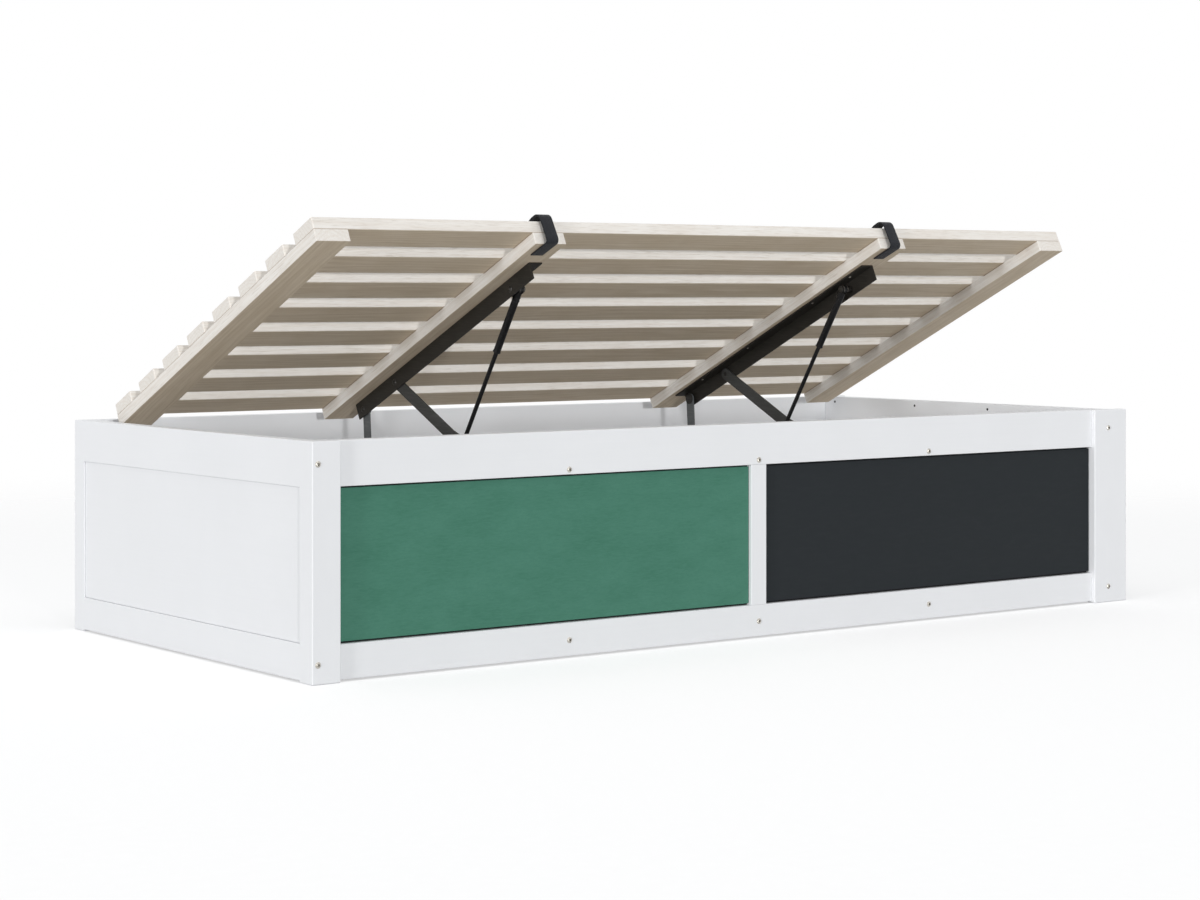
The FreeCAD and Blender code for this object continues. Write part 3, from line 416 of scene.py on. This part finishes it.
def whitewashed(name, kind, middle, seed):
    """Grain for one board. Middle is the board's centre line on the raised base."""
    made, tree, shader, place = finish_start("whitewashed_" + name, Specular_IOR_Level=0.3)
    level = mapping(tree, place, "TEXTURE", Location=REAR_EDGE, Rotation=(TILT, 0.0, 0.0))
    laid = mapping(tree, level, "TEXTURE", Location=middle, Rotation=(0.0, 0.0, GRAIN_TURN[kind]))
    grain = use(tree, timber, Place=laid, Board=seed, Ring=0.0085)
    cloud = use(tree, cloudy, Place=laid, Scale=9.0, Fine=320.0)
    edge = use(tree, edge_wear_and_highlight, Place=place, Width=0.004)["Mask"]
    wash = grained(tree, grain, cloud,
                   paint(231, 227, 221), paint(237, 234, 229), paint(214, 203, 190))
    # Painted shade: a darker, browner copy of the wood for the faces that look down.
    shaded_underside = grained(tree, grain, cloud,
                   paint(208, 193, 170), paint(216, 202, 182), paint(172, 151, 122))
    # Painted highlight: the edges are lightened.
    wash = mixed(tree, times(tree, edge, 0.45), wash, paint(240, 235, 228))
    facing = put(tree, "TexCoord").outputs["Normal"]
    downward = put(tree, "VectorMath", {0: facing, 1: (0.0, math.sin(TILT), -math.cos(TILT))},
                   operation="DOT_PRODUCT").outputs["Value"]
    wood = mixed(tree, rescale(tree, downward, 0.6, 0.95), wash, shaded_underside)
    # Painted shade: a brown line where boards meet, found by ambient occlusion.
    joint_shade = use(tree, corners, Reach=0.004)["Mask"]
    wood = mixed(tree, times(tree, joint_shade, 0.6), wood, paint(150, 120, 90))
    rough = rescale(tree, grain["Fibre"], 0.0, 1.0, 0.55, 0.72)
    sunk = times(tree, grain["Pore"], 1.2)
    relief = math_node(tree, "SUBTRACT", grain["Fibre"], sunk)
    return finish_end(made, tree, shader, wood, rough, relief, 0.0004, 0.5)


FIRST_SLAT_SEED = 11.0
FIRST_BATTEN_SEED = 31.0
for number, run in enumerate(SLAT_RUNS):
    name = "slat_%d" % (number + 1)
    middle = (0.0, -run, -SLAT_THICK / 2)
    material = whitewashed(name, "slat", middle, FIRST_SLAT_SEED + number)
    pieces[name].material_slots[0].material = material
for number, (name, across) in enumerate(zip(BATTENS, BATTEN_MIDDLES)):
    middle = (across, 0.0, -1.5 * SLAT_THICK)
    material = whitewashed(name, "batten", middle, FIRST_BATTEN_SEED + number)
    pieces[name].material_slots[0].material = material

# %% [markdown]
# The left front panel is covered with short green felt. Felt is matted fibre, so it has no weave:
# its look comes from soft drifts of tone, mostly lying sideways, and a fuzz that catches light at
# the edges. Stretched noise gives the drifts, fine noise the fibres, and the shader's sheen gives
# the fuzz.

# %% Green felt
made, tree, shader, place = finish_start("green_felt", Sheen_Weight=0.12, Sheen_Roughness=0.5,
                                         Specular_IOR_Level=0.12)
shader.inputs["Sheen Tint"].default_value = paint(170, 205, 190)
drift = mapping(tree, place, Scale=(11.0, 1.0, 26.0))
cloud = use(tree, cloudy, Place=drift, Scale=1.0, Fine=14.0)
combed = mapping(tree, place, Scale=(60.0, 60.0, 330.0))
hair = noise(tree, combed, 1.0, 4.0, Distortion=0.6)
nap = noise(tree, place, 1500.0, 2.0)
green = mixed(tree, cloud["Tone"], paint(66, 117, 98), paint(79, 130, 112))
green = mixed(tree, rescale(tree, cloud["Grit"], 0.35, 0.65, 0.0, 0.5), green, paint(70, 121, 102))
green = mixed(tree, rescale(tree, hair, 0.35, 0.70, 0.0, 0.5), green, paint(82, 133, 115))
green = mixed(tree, rescale(tree, nap, 0.50, 0.75, 0.0, 0.45), green, paint(56, 104, 86))
rough = rescale(tree, hair, 0.2, 0.8, 0.85, 0.98)
fuzz = math_node(tree, "ADD", nap, times(tree, hair, 0.8))
green_felt = finish_end(made, tree, shader, green, rough, fuzz, 0.0006, 0.5)

# %% [markdown]
# The right front panel is a matt writing board. Such boards are dark grey with a fine tooth that
# takes chalk, and old strokes leave a faint pale haze. The haze is only a percent or two brighter
# than the board, because any more would read as dirt in the picture.

# %% Dark writing board
made, tree, shader, place = finish_start("dark_laminate", Specular_IOR_Level=0.16)
wiped = mapping(tree, place, Rotation=(0.0, 0.35, 0.0), Scale=(3.0, 1.0, 14.0))
haze = use(tree, cloudy, Place=wiped, Scale=1.2, Fine=9.0)
tooth = noise(tree, place, 2400.0, 2.0)
edge = use(tree, edge_wear_and_highlight, Place=place, Width=0.002)["Mask"]
slate = mixed(tree, haze["Tone"], paint(34, 38, 41), paint(39, 43, 46))
slate = mixed(tree, rescale(tree, haze["Grit"], 0.45, 0.75, 0.0, 0.25), slate, paint(43, 47, 50))
slate = mixed(tree, rescale(tree, tooth, 0.45, 0.70, 0.0, 0.35), slate, paint(27, 31, 34))
slate = mixed(tree, times(tree, edge, 0.4), slate, paint(78, 82, 86))
rough = rescale(tree, haze["Tone"], 0.0, 1.0, 0.62, 0.78)
dark_laminate = finish_end(made, tree, shader, slate, rough, tooth, 0.0003, 0.3)

# %% [markdown]
# Behind both panels is a dark fibreboard, which shows only as a thin line round them. It is pressed
# from chips of fibre, so a cell pattern of small flecks is closer to it than plain noise.

# %% Dark fibreboard
made, tree, shader, place = finish_start("dark_fibreboard", Specular_IOR_Level=0.2)
fleck = put(tree, "TexVoronoi", {"Vector": place, "Scale": 420.0, "Randomness": 1.0}).outputs
cloud = use(tree, cloudy, Place=place, Scale=20.0, Fine=600.0)
chips = put(tree, "SeparateColor", {0: fleck["Color"]}).outputs[0]
board_tone = mixed(tree, chips, paint(26, 27, 29), paint(42, 42, 43))
board_tone = mixed(tree, times(tree, cloud["Tone"], 0.4), board_tone, paint(34, 33, 32))
rough = rescale(tree, cloud["Grit"], 0.3, 0.7, 0.78, 0.94)
dark_fibreboard = finish_end(made, tree, shader, board_tone, rough, fleck["Distance"], 0.0005, 0.4)

# %% [markdown]
# The lift mechanism is mild steel with a dark coating that hides the mill finish but not its fine
# pits. Edges and rivets rub through to paler metal as the parts pass each other, so the edge mask
# lightens the coat there and makes it a little smoother. The angles are painted. The arms and
# links, which swing, get paler, cooler copies of the coat: this is painted light, for the light
# they catch.

# %% Dark coated steel
def coated_steel(name, low, high, worn, smooth):
    """Steel under a coat: two tones, a tone where it is worn, and its lowest roughness."""
    made, tree, shader, place = finish_start(name, Specular_IOR_Level=0.26)
    cloud = use(tree, cloudy, Place=place, Scale=14.0, Fine=900.0)
    edge = use(tree, edge_wear_and_highlight, Place=place, Width=0.002)["Mask"]
    rolled = mapping(tree, place, Scale=(400.0, 24.0, 400.0), Rotation=(-TILT, 0.0, 0.0))
    lines = noise(tree, rolled, 1.0, 3.0)
    coat = mixed(tree, cloud["Tone"], paint(*low), paint(*high))
    coat = mixed(tree, rescale(tree, lines, 0.45, 0.75, 0.0, 0.35), coat, paint(*worn))
    coat = mixed(tree, times(tree, edge, 0.5), coat, paint(*worn))
    rough = rescale(tree, cloud["Tone"], 0.0, 1.0, smooth, smooth + 0.14)
    rough = math_node(tree, "SUBTRACT", rough, times(tree, edge, 0.12))
    pits = math_node(tree, "ADD", cloud["Grit"], times(tree, lines, 0.5))
    return finish_end(made, tree, shader, coat, rough, pits, 0.0002, 0.35)


# The arm and link steels are lighter copies of the coat: painted light.
STEELS = {"dark_steel": ((29, 27, 23), (38, 35, 31), (62, 59, 54), 0.46),
          "arm_steel_painted_light": ((53, 53, 52), (61, 61, 60), (86, 86, 85), 0.46),
          "link_steel_painted_light": ((82, 85, 86), (94, 97, 98), (120, 122, 123), 0.42),
          "rivet_steel": ((24, 22, 20), (34, 32, 29), (84, 82, 78), 0.28),
          "strut_black": ((10, 10, 11), (16, 16, 17), (56, 56, 58), 0.34)}
steel = {name: coated_steel(name, *recipe) for name, recipe in STEELS.items()}

# %% [markdown]
# Bolts are nickel plated, the slats' screws are zinc plated, and the clips of the struts are dark
# spring wire. All show bare metal, so the shader is fully metallic. What tells them apart is tone
# and polish: nickel is warm and bright, zinc is colder and breaks into small dull crystals. The
# corner mask darkens the drives with painted shade.

# %% Plated fasteners
def plated(name, low, high, smooth, rough_end, grain_size):
    """Plated metal with two tones of crystal. A larger grain_size gives smaller crystals."""
    made, tree, shader, place = finish_start(name, Metallic=1.0)
    crystal = put(tree, "TexVoronoi", {"Vector": place, "Scale": grain_size}).outputs
    facet = put(tree, "SeparateColor", {0: crystal["Color"]}).outputs[0]
    cloud = use(tree, cloudy, Place=place, Scale=90.0, Fine=2500.0)
    edge = use(tree, edge_wear_and_highlight, Place=place, Width=0.0008)["Mask"]
    tone = mixed(tree, facet, low, high)
    tone = mixed(tree, times(tree, edge, 0.3), tone, paint(235, 232, 226))
    # Painted shade: the drives and other hollows are darkened.
    drive = use(tree, corners, Reach=0.003)["Mask"]
    tone = mixed(tree, times(tree, drive, 0.85), tone, paint(64, 58, 50))
    rough = rescale(tree, math_node(tree, "ADD", facet, cloud["Tone"]), 0.0, 2.0, smooth, rough_end)
    return finish_end(made, tree, shader, tone, rough, cloud["Grit"], 0.0001, 0.2)


nickel = plated("nickel", paint(172, 168, 160), paint(204, 200, 192), 0.28, 0.44, 260.0)
zinc = plated("zinc", paint(176, 180, 184), paint(204, 207, 210), 0.32, 0.52, 700.0)
clip_wire = plated("clip_wire", paint(66, 64, 60), paint(98, 95, 90), 0.26, 0.42, 500.0)

# %% [markdown]
# Each CAD piece already carries a plain material named for its slot. The moving steel parts have
# finishes of their own. The boards get the lacquer whose grain follows their longest side, which
# the piece's own box tells. The rest swap by the name of the slot.

# %% Give the CAD pieces their finishes
BY_SLOT = {"green_felt": green_felt, "dark_laminate": dark_laminate,
           "dark_fibreboard": dark_fibreboard, "nickel": nickel, "zinc": zinc,
           "dark_steel": steel["dark_steel"]}
BY_NAME = {"platform_pivots": steel["rivet_steel"], "base_pivots": steel["rivet_steel"]}
for side in ("left", "right"):
    BY_NAME[side + "_lift_arm"] = steel["arm_steel_painted_light"]
    BY_NAME[side + "_rear_link"] = steel["link_steel_painted_light"]
    BY_NAME[side + "_strut_rod"] = steel["strut_black"]
    BY_NAME[side + "_strut_cylinder"] = steel["strut_black"]
for name, piece in sorted(pieces.items()):
    coat = piece.material_slots[0]
    plain = coat.material.name
    if name in BY_NAME:
        coat.material = BY_NAME[name]
    elif plain in BY_SLOT:
        coat.material = BY_SLOT[plain]
    elif plain.startswith("white_lacquer"):
        low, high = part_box(name)
        sides = high - low
        longest = max(range(3), key=lambda axis: sides[axis])
        coat.material = lacquer["xyz"[longest]]
    print("%-22s %s" % (name, coat.material.name))

# %% [markdown]
# New pieces are small meshes, so they share one way in: a bmesh becomes an object at the origin,
# with its place in the mesh, and rides on the body that carries it.

# %% From bmesh to piece
RAISED = Matrix.Translation(REAR_EDGE) @ Matrix.Rotation(TILT, 4, "X")


def new_piece(name, mesh, material, body):
    """Turns a bmesh into a piece that rides on a body."""
    data = bpy.data.meshes.new(name)
    mesh.to_mesh(data)
    mesh.free()
    data.materials.append(material)
    piece = bpy.data.objects.new(name, data)
    bpy.context.scene.collection.objects.link(piece)
    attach(piece, body)
    print(name, "has", len(data.polygons), "faces")
    return piece


def corners_in(parts):
    """The corners among the parts that a mesh operation gives back."""
    return [part for part in parts if isinstance(part, bmesh.types.BMVert)]


# %% [markdown]
# The pull straps are flat webbing: a narrow woven band that starts flat on the front slat, stands
# up in a loose loop for the hand, hangs down the front edge and ends under the batten. A band is
# easiest as a side view. A few points give its path, extruding the path sideways gives the width,
# and bevelling the folds gives each its own soft bend. The closed base stops some 20 mm short of
# the front rail, so the loop has room to hang there, and the band is thin enough to lie between the
# batten and the upright below it.

# %% Webbing
WARP_PITCH = 0.0018
WEFT_PITCH = 0.0026
WEFT_SLANT = 0.8
SELVAGE_START = 0.0122
SELVAGE_END = 0.0132
made, tree, shader, place = finish_start("black_webbing", Sheen_Weight=0.1, Sheen_Roughness=0.4,
                                         Specular_IOR_Level=0.25)
flat = put(tree, "UVMap", uv_map="band").outputs[0]
thread = put(tree, "SeparateXYZ", {0: flat}).outputs
warp = math_node(tree, "SINE", times(tree, thread["X"], 2 * math.pi / WARP_PITCH))
slant = math_node(tree, "ADD", thread["Y"], times(tree, thread["X"], WEFT_SLANT))
weft = math_node(tree, "SINE", times(tree, slant, 2 * math.pi / WEFT_PITCH))
cross = rescale(tree, times(tree, warp, weft), -1.0, 1.0)
ribs = rescale(tree, warp, -1.0, 1.0)
cloud = use(tree, cloudy, Place=place, Scale=60.0, Fine=1200.0)
selvage = rescale(tree, math_node(tree, "ABSOLUTE", thread["X"]), SELVAGE_START, SELVAGE_END)
band = mixed(tree, cross, paint(14, 15, 18), paint(40, 42, 48))
band = mixed(tree, times(tree, ribs, 0.35), band, paint(28, 30, 35))
band = mixed(tree, times(tree, selvage, 0.5), band, paint(16, 17, 20))
band = mixed(tree, times(tree, cloud["Tone"], 0.25), band, paint(40, 42, 47))
rough = rescale(tree, cloud["Grit"], 0.3, 0.7, 0.72, 0.9)
weave = math_node(tree, "ADD", cross, times(tree, ribs, 0.5))
black_webbing = finish_end(made, tree, shader, band, rough, weave, 0.0006, 0.8)

# %% Pull straps
STRAP_WIDTH = 0.029
STRAP_THICK = 0.0022
STRAP_BEND_STEPS = 7
STRAP_EDGE = 0.0006
# Side view of a strap on the raised base: run from the rear edge, height over the slats, bend size
STRAP_PATH = [(0.8280, 0.0013, 0.0), (0.8430, 0.0013, 0.006), (0.8670, 0.0140, 0.011),
              (0.9000, 0.0136, 0.014), (0.9048, -0.0526, 0.010), (0.8760, -0.0522, 0.006),
              (0.8420, -0.0513, 0.0)]


def pull_strap(side):
    """One strap, in line with the plain one that CAD holds for it."""
    middle = middle_across(side + "_pull_strap")
    mesh = bmesh.new()
    left = middle - STRAP_WIDTH / 2
    points = [mesh.verts.new((left, -run, height)) for run, height, _ in STRAP_PATH]
    path = [mesh.edges.new(pair) for pair in zip(points, points[1:])]
    swept = bmesh.ops.extrude_edge_only(mesh, edges=path)["geom"]
    bmesh.ops.translate(mesh, verts=corners_in(swept), vec=(STRAP_WIDTH, 0, 0))
    for run, height, bend in STRAP_PATH[1:-1]:
        fold = [edge for edge in mesh.edges
                if all(abs(end.co.y + run) + abs(end.co.z - height) < 1e-5 for end in edge.verts)]
        bmesh.ops.bevel(mesh, geom=fold, offset=bend, segments=STRAP_BEND_STEPS, profile=0.5,
                        affect="EDGES", material=-1)
    bmesh.ops.recalc_face_normals(mesh, faces=mesh.faces)
    layer = mesh.loops.layers.uv.new("band")
    for face in mesh.faces:
        for loop in face.loops:
            spot = loop.vert.co
            loop[layer].uv = (spot.x - middle, -spot.y - spot.z)
    length = sum(face.calc_area() for face in mesh.faces) / STRAP_WIDTH
    mesh.transform(RAISED)
    strap = new_piece(side + "_webbing_strap", mesh, black_webbing, "slatted_base")
    thick = strap.modifiers.new("thickness", "SOLIDIFY")
    thick.thickness = STRAP_THICK
    thick.offset = 0.0
    soft = strap.modifiers.new("soft_edges", "BEVEL")
    soft.width = STRAP_EDGE
    soft.segments = 2
    soft.limit_method = "ANGLE"
    soft.angle_limit = math.radians(60)
    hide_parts(side + "_pull_strap")
    for face in strap.data.polygons:
        face.use_smooth = True
    print("Strap cut to", round(length * 1000), "mm")


pull_strap("left")
pull_strap("right")

# %% [markdown]
# Fastener heads are turned shapes, so each starts as half a side view that is spun round its axis.
# The mouth of the drive is then pulled to a hexagon or a cross and pushed down into the head. The
# finished pattern is copied to every place, which keeps all of one kind identical, as bought screws
# are.

# %% Turned fasteners
SPIN_STEPS = 24
DOME_STEPS = 5
CROSS_ARM_HALF_ANGLE = 0.14


def turned(profile, mouth, depth):
    """Spins a side view of (radius, height) points, and sinks a drive of the given outline."""
    mesh = bmesh.new()
    line = [mesh.verts.new((radius, 0, height)) for radius, height in profile]
    edges = [mesh.edges.new(pair) for pair in zip(line, line[1:])]
    bmesh.ops.spin(mesh, geom=line + edges, cent=(0, 0, 0), axis=(0, 0, 1), angle=2 * math.pi,
                   steps=SPIN_STEPS, use_merge=True)
    bmesh.ops.remove_doubles(mesh, verts=mesh.verts, dist=1e-6)
    rim = [edge for edge in mesh.edges if edge.is_boundary]
    for corner in {end for edge in rim for end in edge.verts}:
        reach = mouth(math.atan2(corner.co.y, corner.co.x)) / corner.co.xy.length
        corner.co.x *= reach
        corner.co.y *= reach
    walls = bmesh.ops.extrude_edge_only(mesh, edges=rim)["geom"]
    bmesh.ops.translate(mesh, verts=corners_in(walls), vec=(0, 0, -depth))
    bmesh.ops.holes_fill(mesh, edges=[edge for edge in mesh.edges if edge.is_boundary], sides=0)
    bmesh.ops.recalc_face_normals(mesh, faces=mesh.faces)
    pattern = bpy.data.meshes.new("fastener_pattern")
    mesh.to_mesh(pattern)
    mesh.free()
    return pattern


def hexagon(across):
    """Outline of a hexagon socket: how far its rim is at an angle, for a size across the flats."""
    return lambda angle: across / 2 / math.cos((angle + math.pi / 6) % (math.pi / 3) - math.pi / 6)


def cross_drive(arm, waist):
    """Outline of a cross drive: the arm's reach on its four lines, and the waist's between."""
    def rim(angle):
        from_arm = abs((angle + math.pi / 4) % (math.pi / 2) - math.pi / 4)
        return arm if from_arm < CROSS_ARM_HALF_ANGLE else waist
    return rim


def copies(mesh, pattern, places):
    """Adds the pattern to a mesh once for every place."""
    for place in places:
        first = len(mesh.verts)
        mesh.from_mesh(pattern)
        mesh.verts.ensure_lookup_table()
        bmesh.ops.transform(mesh, matrix=place, verts=mesh.verts[first:])
    return mesh


def aimed(spot, way):
    """A place whose own upright axis points the given way."""
    return Matrix.Translation(spot) @ Vector(way).to_track_quat("Z", "Y").to_matrix().to_4x4()


def domed(radius, rise, mouth, shank, length):
    """Side view of a domed fastener: from its drive's mouth over the head and down its shank."""
    ball = (radius ** 2 + rise ** 2) / (2 * rise)
    start = math.asin(mouth / ball)
    stop = math.asin(radius / ball)
    angles = [start + (stop - start) * step / DOME_STEPS for step in range(DOME_STEPS + 1)]
    head = [(ball * math.sin(angle), ball * math.cos(angle) - ball + rise) for angle in angles]
    return head + [(shank, 0.0), (shank, -length), (0.0, -length)]


print("Fastener tools ready")

# %% [markdown]
# The frame bolts are the bright dots along the rails and posts. Each has a low dome with a hexagon
# socket. The socket's shadow, deepened by the painted shade that the nickel finish puts in hollows,
# is what gives the dots in the picture their dark fleck.

# %% Frame bolts
FRONT = (0, -1, 0)
BACK = (0, 1, 0)
POST_FACE = 0.49
LEFT_POST_BOLTS = -1.068
RIGHT_POST_BOLTS = 1.02
POST_BOLT_HEIGHTS = (0.3985, 0.036)
RAIL_FACE = 0.48
MIDDLE_UPRIGHT = -0.0185
UPRIGHT_SPACING = 0.481
RAIL_BOLT_HEIGHTS = (0.365, 0.0346)
# Through the left posts, the right posts and the front rails
BOLT_LENGTHS = (0.081, 0.058, 0.066)
BOLT_HEAD = 0.006
BOLT_RISE = 0.0026
BOLT_SHANK = 0.003
BOLT_MOUTH = 0.003
SOCKET_ACROSS = 0.005
SOCKET_DEPTH = 0.0022
left_post_places = []
right_post_places = []
for height in POST_BOLT_HEIGHTS:
    for y, way in ((-POST_FACE, FRONT), (POST_FACE, BACK)):
        left_post_places.append(aimed((LEFT_POST_BOLTS, y, height), way))
        right_post_places.append(aimed((RIGHT_POST_BOLTS, y, height), way))
rail_places = []
for height in RAIL_BOLT_HEIGHTS:
    for step in (-1, 0, 1):
        x = MIDDLE_UPRIGHT + UPRIGHT_SPACING * step
        rail_places.append(aimed((x, -RAIL_FACE, height), FRONT))
mesh = bmesh.new()
for length, places in zip(BOLT_LENGTHS, (left_post_places, right_post_places, rail_places)):
    profile = domed(BOLT_HEAD, BOLT_RISE, BOLT_MOUTH, BOLT_SHANK, length)
    copies(mesh, turned(profile, hexagon(SOCKET_ACROSS), SOCKET_DEPTH), places)
bolts = new_piece("socket_bolts", mesh, nickel, "frame")
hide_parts("frame_bolts")

# %% [markdown]
# The slats are held by countersunk screws that end flush with the wood, one at each batten. They
# have a cross drive, and a cone under the head that draws it down into the slat.

# %% Slat screws
FLUSH_HEAD = 0.0045
FLUSH_MOUTH = 0.0022
FLUSH_CONE = 0.003
SCREW_SHANK = 0.002
SLAT_SCREW_LENGTH = 0.042
flush_side = [(FLUSH_MOUTH, 0.0), (FLUSH_HEAD, 0.0), (SCREW_SHANK, -FLUSH_CONE),
              (SCREW_SHANK, -SLAT_SCREW_LENGTH), (0.0, -SLAT_SCREW_LENGTH)]
slat_screw = turned(flush_side, cross_drive(arm=0.0026, waist=0.0011), depth=0.0016)


def on_base(across, run, height, side):
    """A place on the raised base. It points up from the slats for side 1, and down for side -1."""
    spot = RAISED @ Vector((across, -run, height))
    return aimed(spot, RAISED.to_3x3() @ Vector((0, 0, side)))


slat_screw_places = [on_base(across, run, 0.0, 1) for run in SLAT_RUNS for across in BATTEN_MIDDLES]
mesh = copies(bmesh.new(), slat_screw, slat_screw_places)
screws = new_piece("countersunk_screws", mesh, zinc, "slatted_base")
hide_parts("slat_screws")

# %% [markdown]
# The other screws are small and domed. Three show on the inside of the right end, and the rest hold
# the base plates to the partitions and the angles to the battens. One pattern serves them all.

# %% Domed screws
DOME_HEAD = 0.003
DOME_RISE = 0.0016
DOME_MOUTH = 0.0013
DOME_LENGTH = 0.015
RIGHT_END_FACE = 1.012
RIGHT_END_SCREW_HEIGHT = 0.427
RIGHT_END_SCREWS = (0.43168, 0.13797, -0.11307)
LEFT_PLATE_FACE = -0.4673
RIGHT_PLATE_FACE = 0.4303
PLATE_SCREWS = ((-0.2, 0.245), (0.166, 0.245), (0.221, 0.245), (0.136, 0.115))
FLANGE_MIDDLES = (-0.4605, 0.4235)
FLANGE_FACE = -0.053
FLANGE_SCREW_RUNS = (0.18, 0.363678, 0.612696, 0.750636)
TO_LEFT = (-1, 0, 0)
TO_RIGHT = (1, 0, 0)
dome_side = domed(DOME_HEAD, DOME_RISE, DOME_MOUTH, SCREW_SHANK, DOME_LENGTH)
wood_screw = turned(dome_side, cross_drive(arm=0.0018, waist=0.0007), depth=0.0011)
wood_screw_places = []
for y in RIGHT_END_SCREWS:
    wood_screw_places.append(aimed((RIGHT_END_FACE, y, RIGHT_END_SCREW_HEIGHT), TO_LEFT))
for x, way in ((LEFT_PLATE_FACE, TO_RIGHT), (RIGHT_PLATE_FACE, TO_LEFT)):
    for y, height in PLATE_SCREWS:
        wood_screw_places.append(aimed((x, y, height), way))
mesh = copies(bmesh.new(), wood_screw, wood_screw_places)
screws = new_piece("domed_screws", mesh, steel["strut_black"], "frame")
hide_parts("wood_screws")
flange_places = [on_base(x, run, FLANGE_FACE, -1)
                 for x in FLANGE_MIDDLES for run in FLANGE_SCREW_RUNS]
mesh = copies(bmesh.new(), wood_screw, flange_places)
screws = new_piece("flange_screws", mesh, nickel, "slatted_base")
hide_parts("angle_screws")

# %% [markdown]
# The upper end of each strut is a socket that snaps onto its pin. A clip of bent spring wire holds
# it there, and its curl stands out behind the strut. The sleeve below is crimped twice and has a
# rolled lip at its mouth. All of these are made as hoops of wire: a round section, spun round an
# axis.

# %% Hoops of wire
HOOP_STEPS = 32
WIRE_STEPS = 10


def hoop(radius, wire):
    """A ring of round wire, lying flat."""
    mesh = bmesh.new()
    section = bmesh.ops.create_circle(mesh, segments=WIRE_STEPS, radius=wire)["verts"]
    bmesh.ops.rotate(mesh, verts=section, matrix=Matrix.Rotation(math.radians(90), 3, "X"))
    bmesh.ops.translate(mesh, verts=section, vec=(radius, 0, 0))
    bmesh.ops.spin(mesh, geom=mesh.verts[:] + mesh.edges[:], cent=(0, 0, 0), axis=(0, 0, 1),
                   angle=2 * math.pi, steps=HOOP_STEPS, use_merge=True)
    bmesh.ops.remove_doubles(mesh, verts=mesh.verts, dist=1e-6)
    bmesh.ops.recalc_face_normals(mesh, faces=mesh.faces)
    pattern = bpy.data.meshes.new("hoop_pattern")
    mesh.to_mesh(pattern)
    mesh.free()
    print("Hoop of", round(radius * 2000, 1), "mm across")
    return pattern


# %% Strut clips and collars
ACROSS = Vector((1, 0, 0))
DOWN_STRUT = Vector((0, 0.5385431, -0.84259796))
BEHIND_STRUT = ACROSS.cross(DOWN_STRUT)
STRUT_MIDDLES = (-0.458, 0.421)
STRUT_TOP_DEPTH = -0.252844
STRUT_TOP_HEIGHT = 0.714911
CLIP_STEPS = (-0.0048, 0.0048)
CURL_DOWN = 0.023
CURL_BEHIND = 0.0103
CRIMP_RUNS = (0.019, 0.027)
LIP_RUN = 0.1516
clip = hoop(radius=0.0091, wire=0.001)
curl = hoop(radius=0.0034, wire=0.0013)
crimp = hoop(radius=0.0075, wire=0.0009)
lip = hoop(radius=0.0072, wire=0.0012)
clips = bmesh.new()
collars = bmesh.new()
for x in STRUT_MIDDLES:
    top = Vector((x, STRUT_TOP_DEPTH, STRUT_TOP_HEIGHT))
    curl_spot = top + DOWN_STRUT * CURL_DOWN + BEHIND_STRUT * CURL_BEHIND
    copies(clips, clip, [aimed(top + ACROSS * step, ACROSS) for step in CLIP_STEPS])
    copies(clips, curl, [aimed(curl_spot, ACROSS)])
    copies(collars, crimp, [aimed(top + DOWN_STRUT * run, DOWN_STRUT) for run in CRIMP_RUNS])
    copies(collars, lip, [aimed(top + DOWN_STRUT * LIP_RUN, DOWN_STRUT)])
new_piece("strut_clips", clips, clip_wire, "strut_rods")
new_piece("strut_collars", collars, steel["strut_black"], "strut_rods")
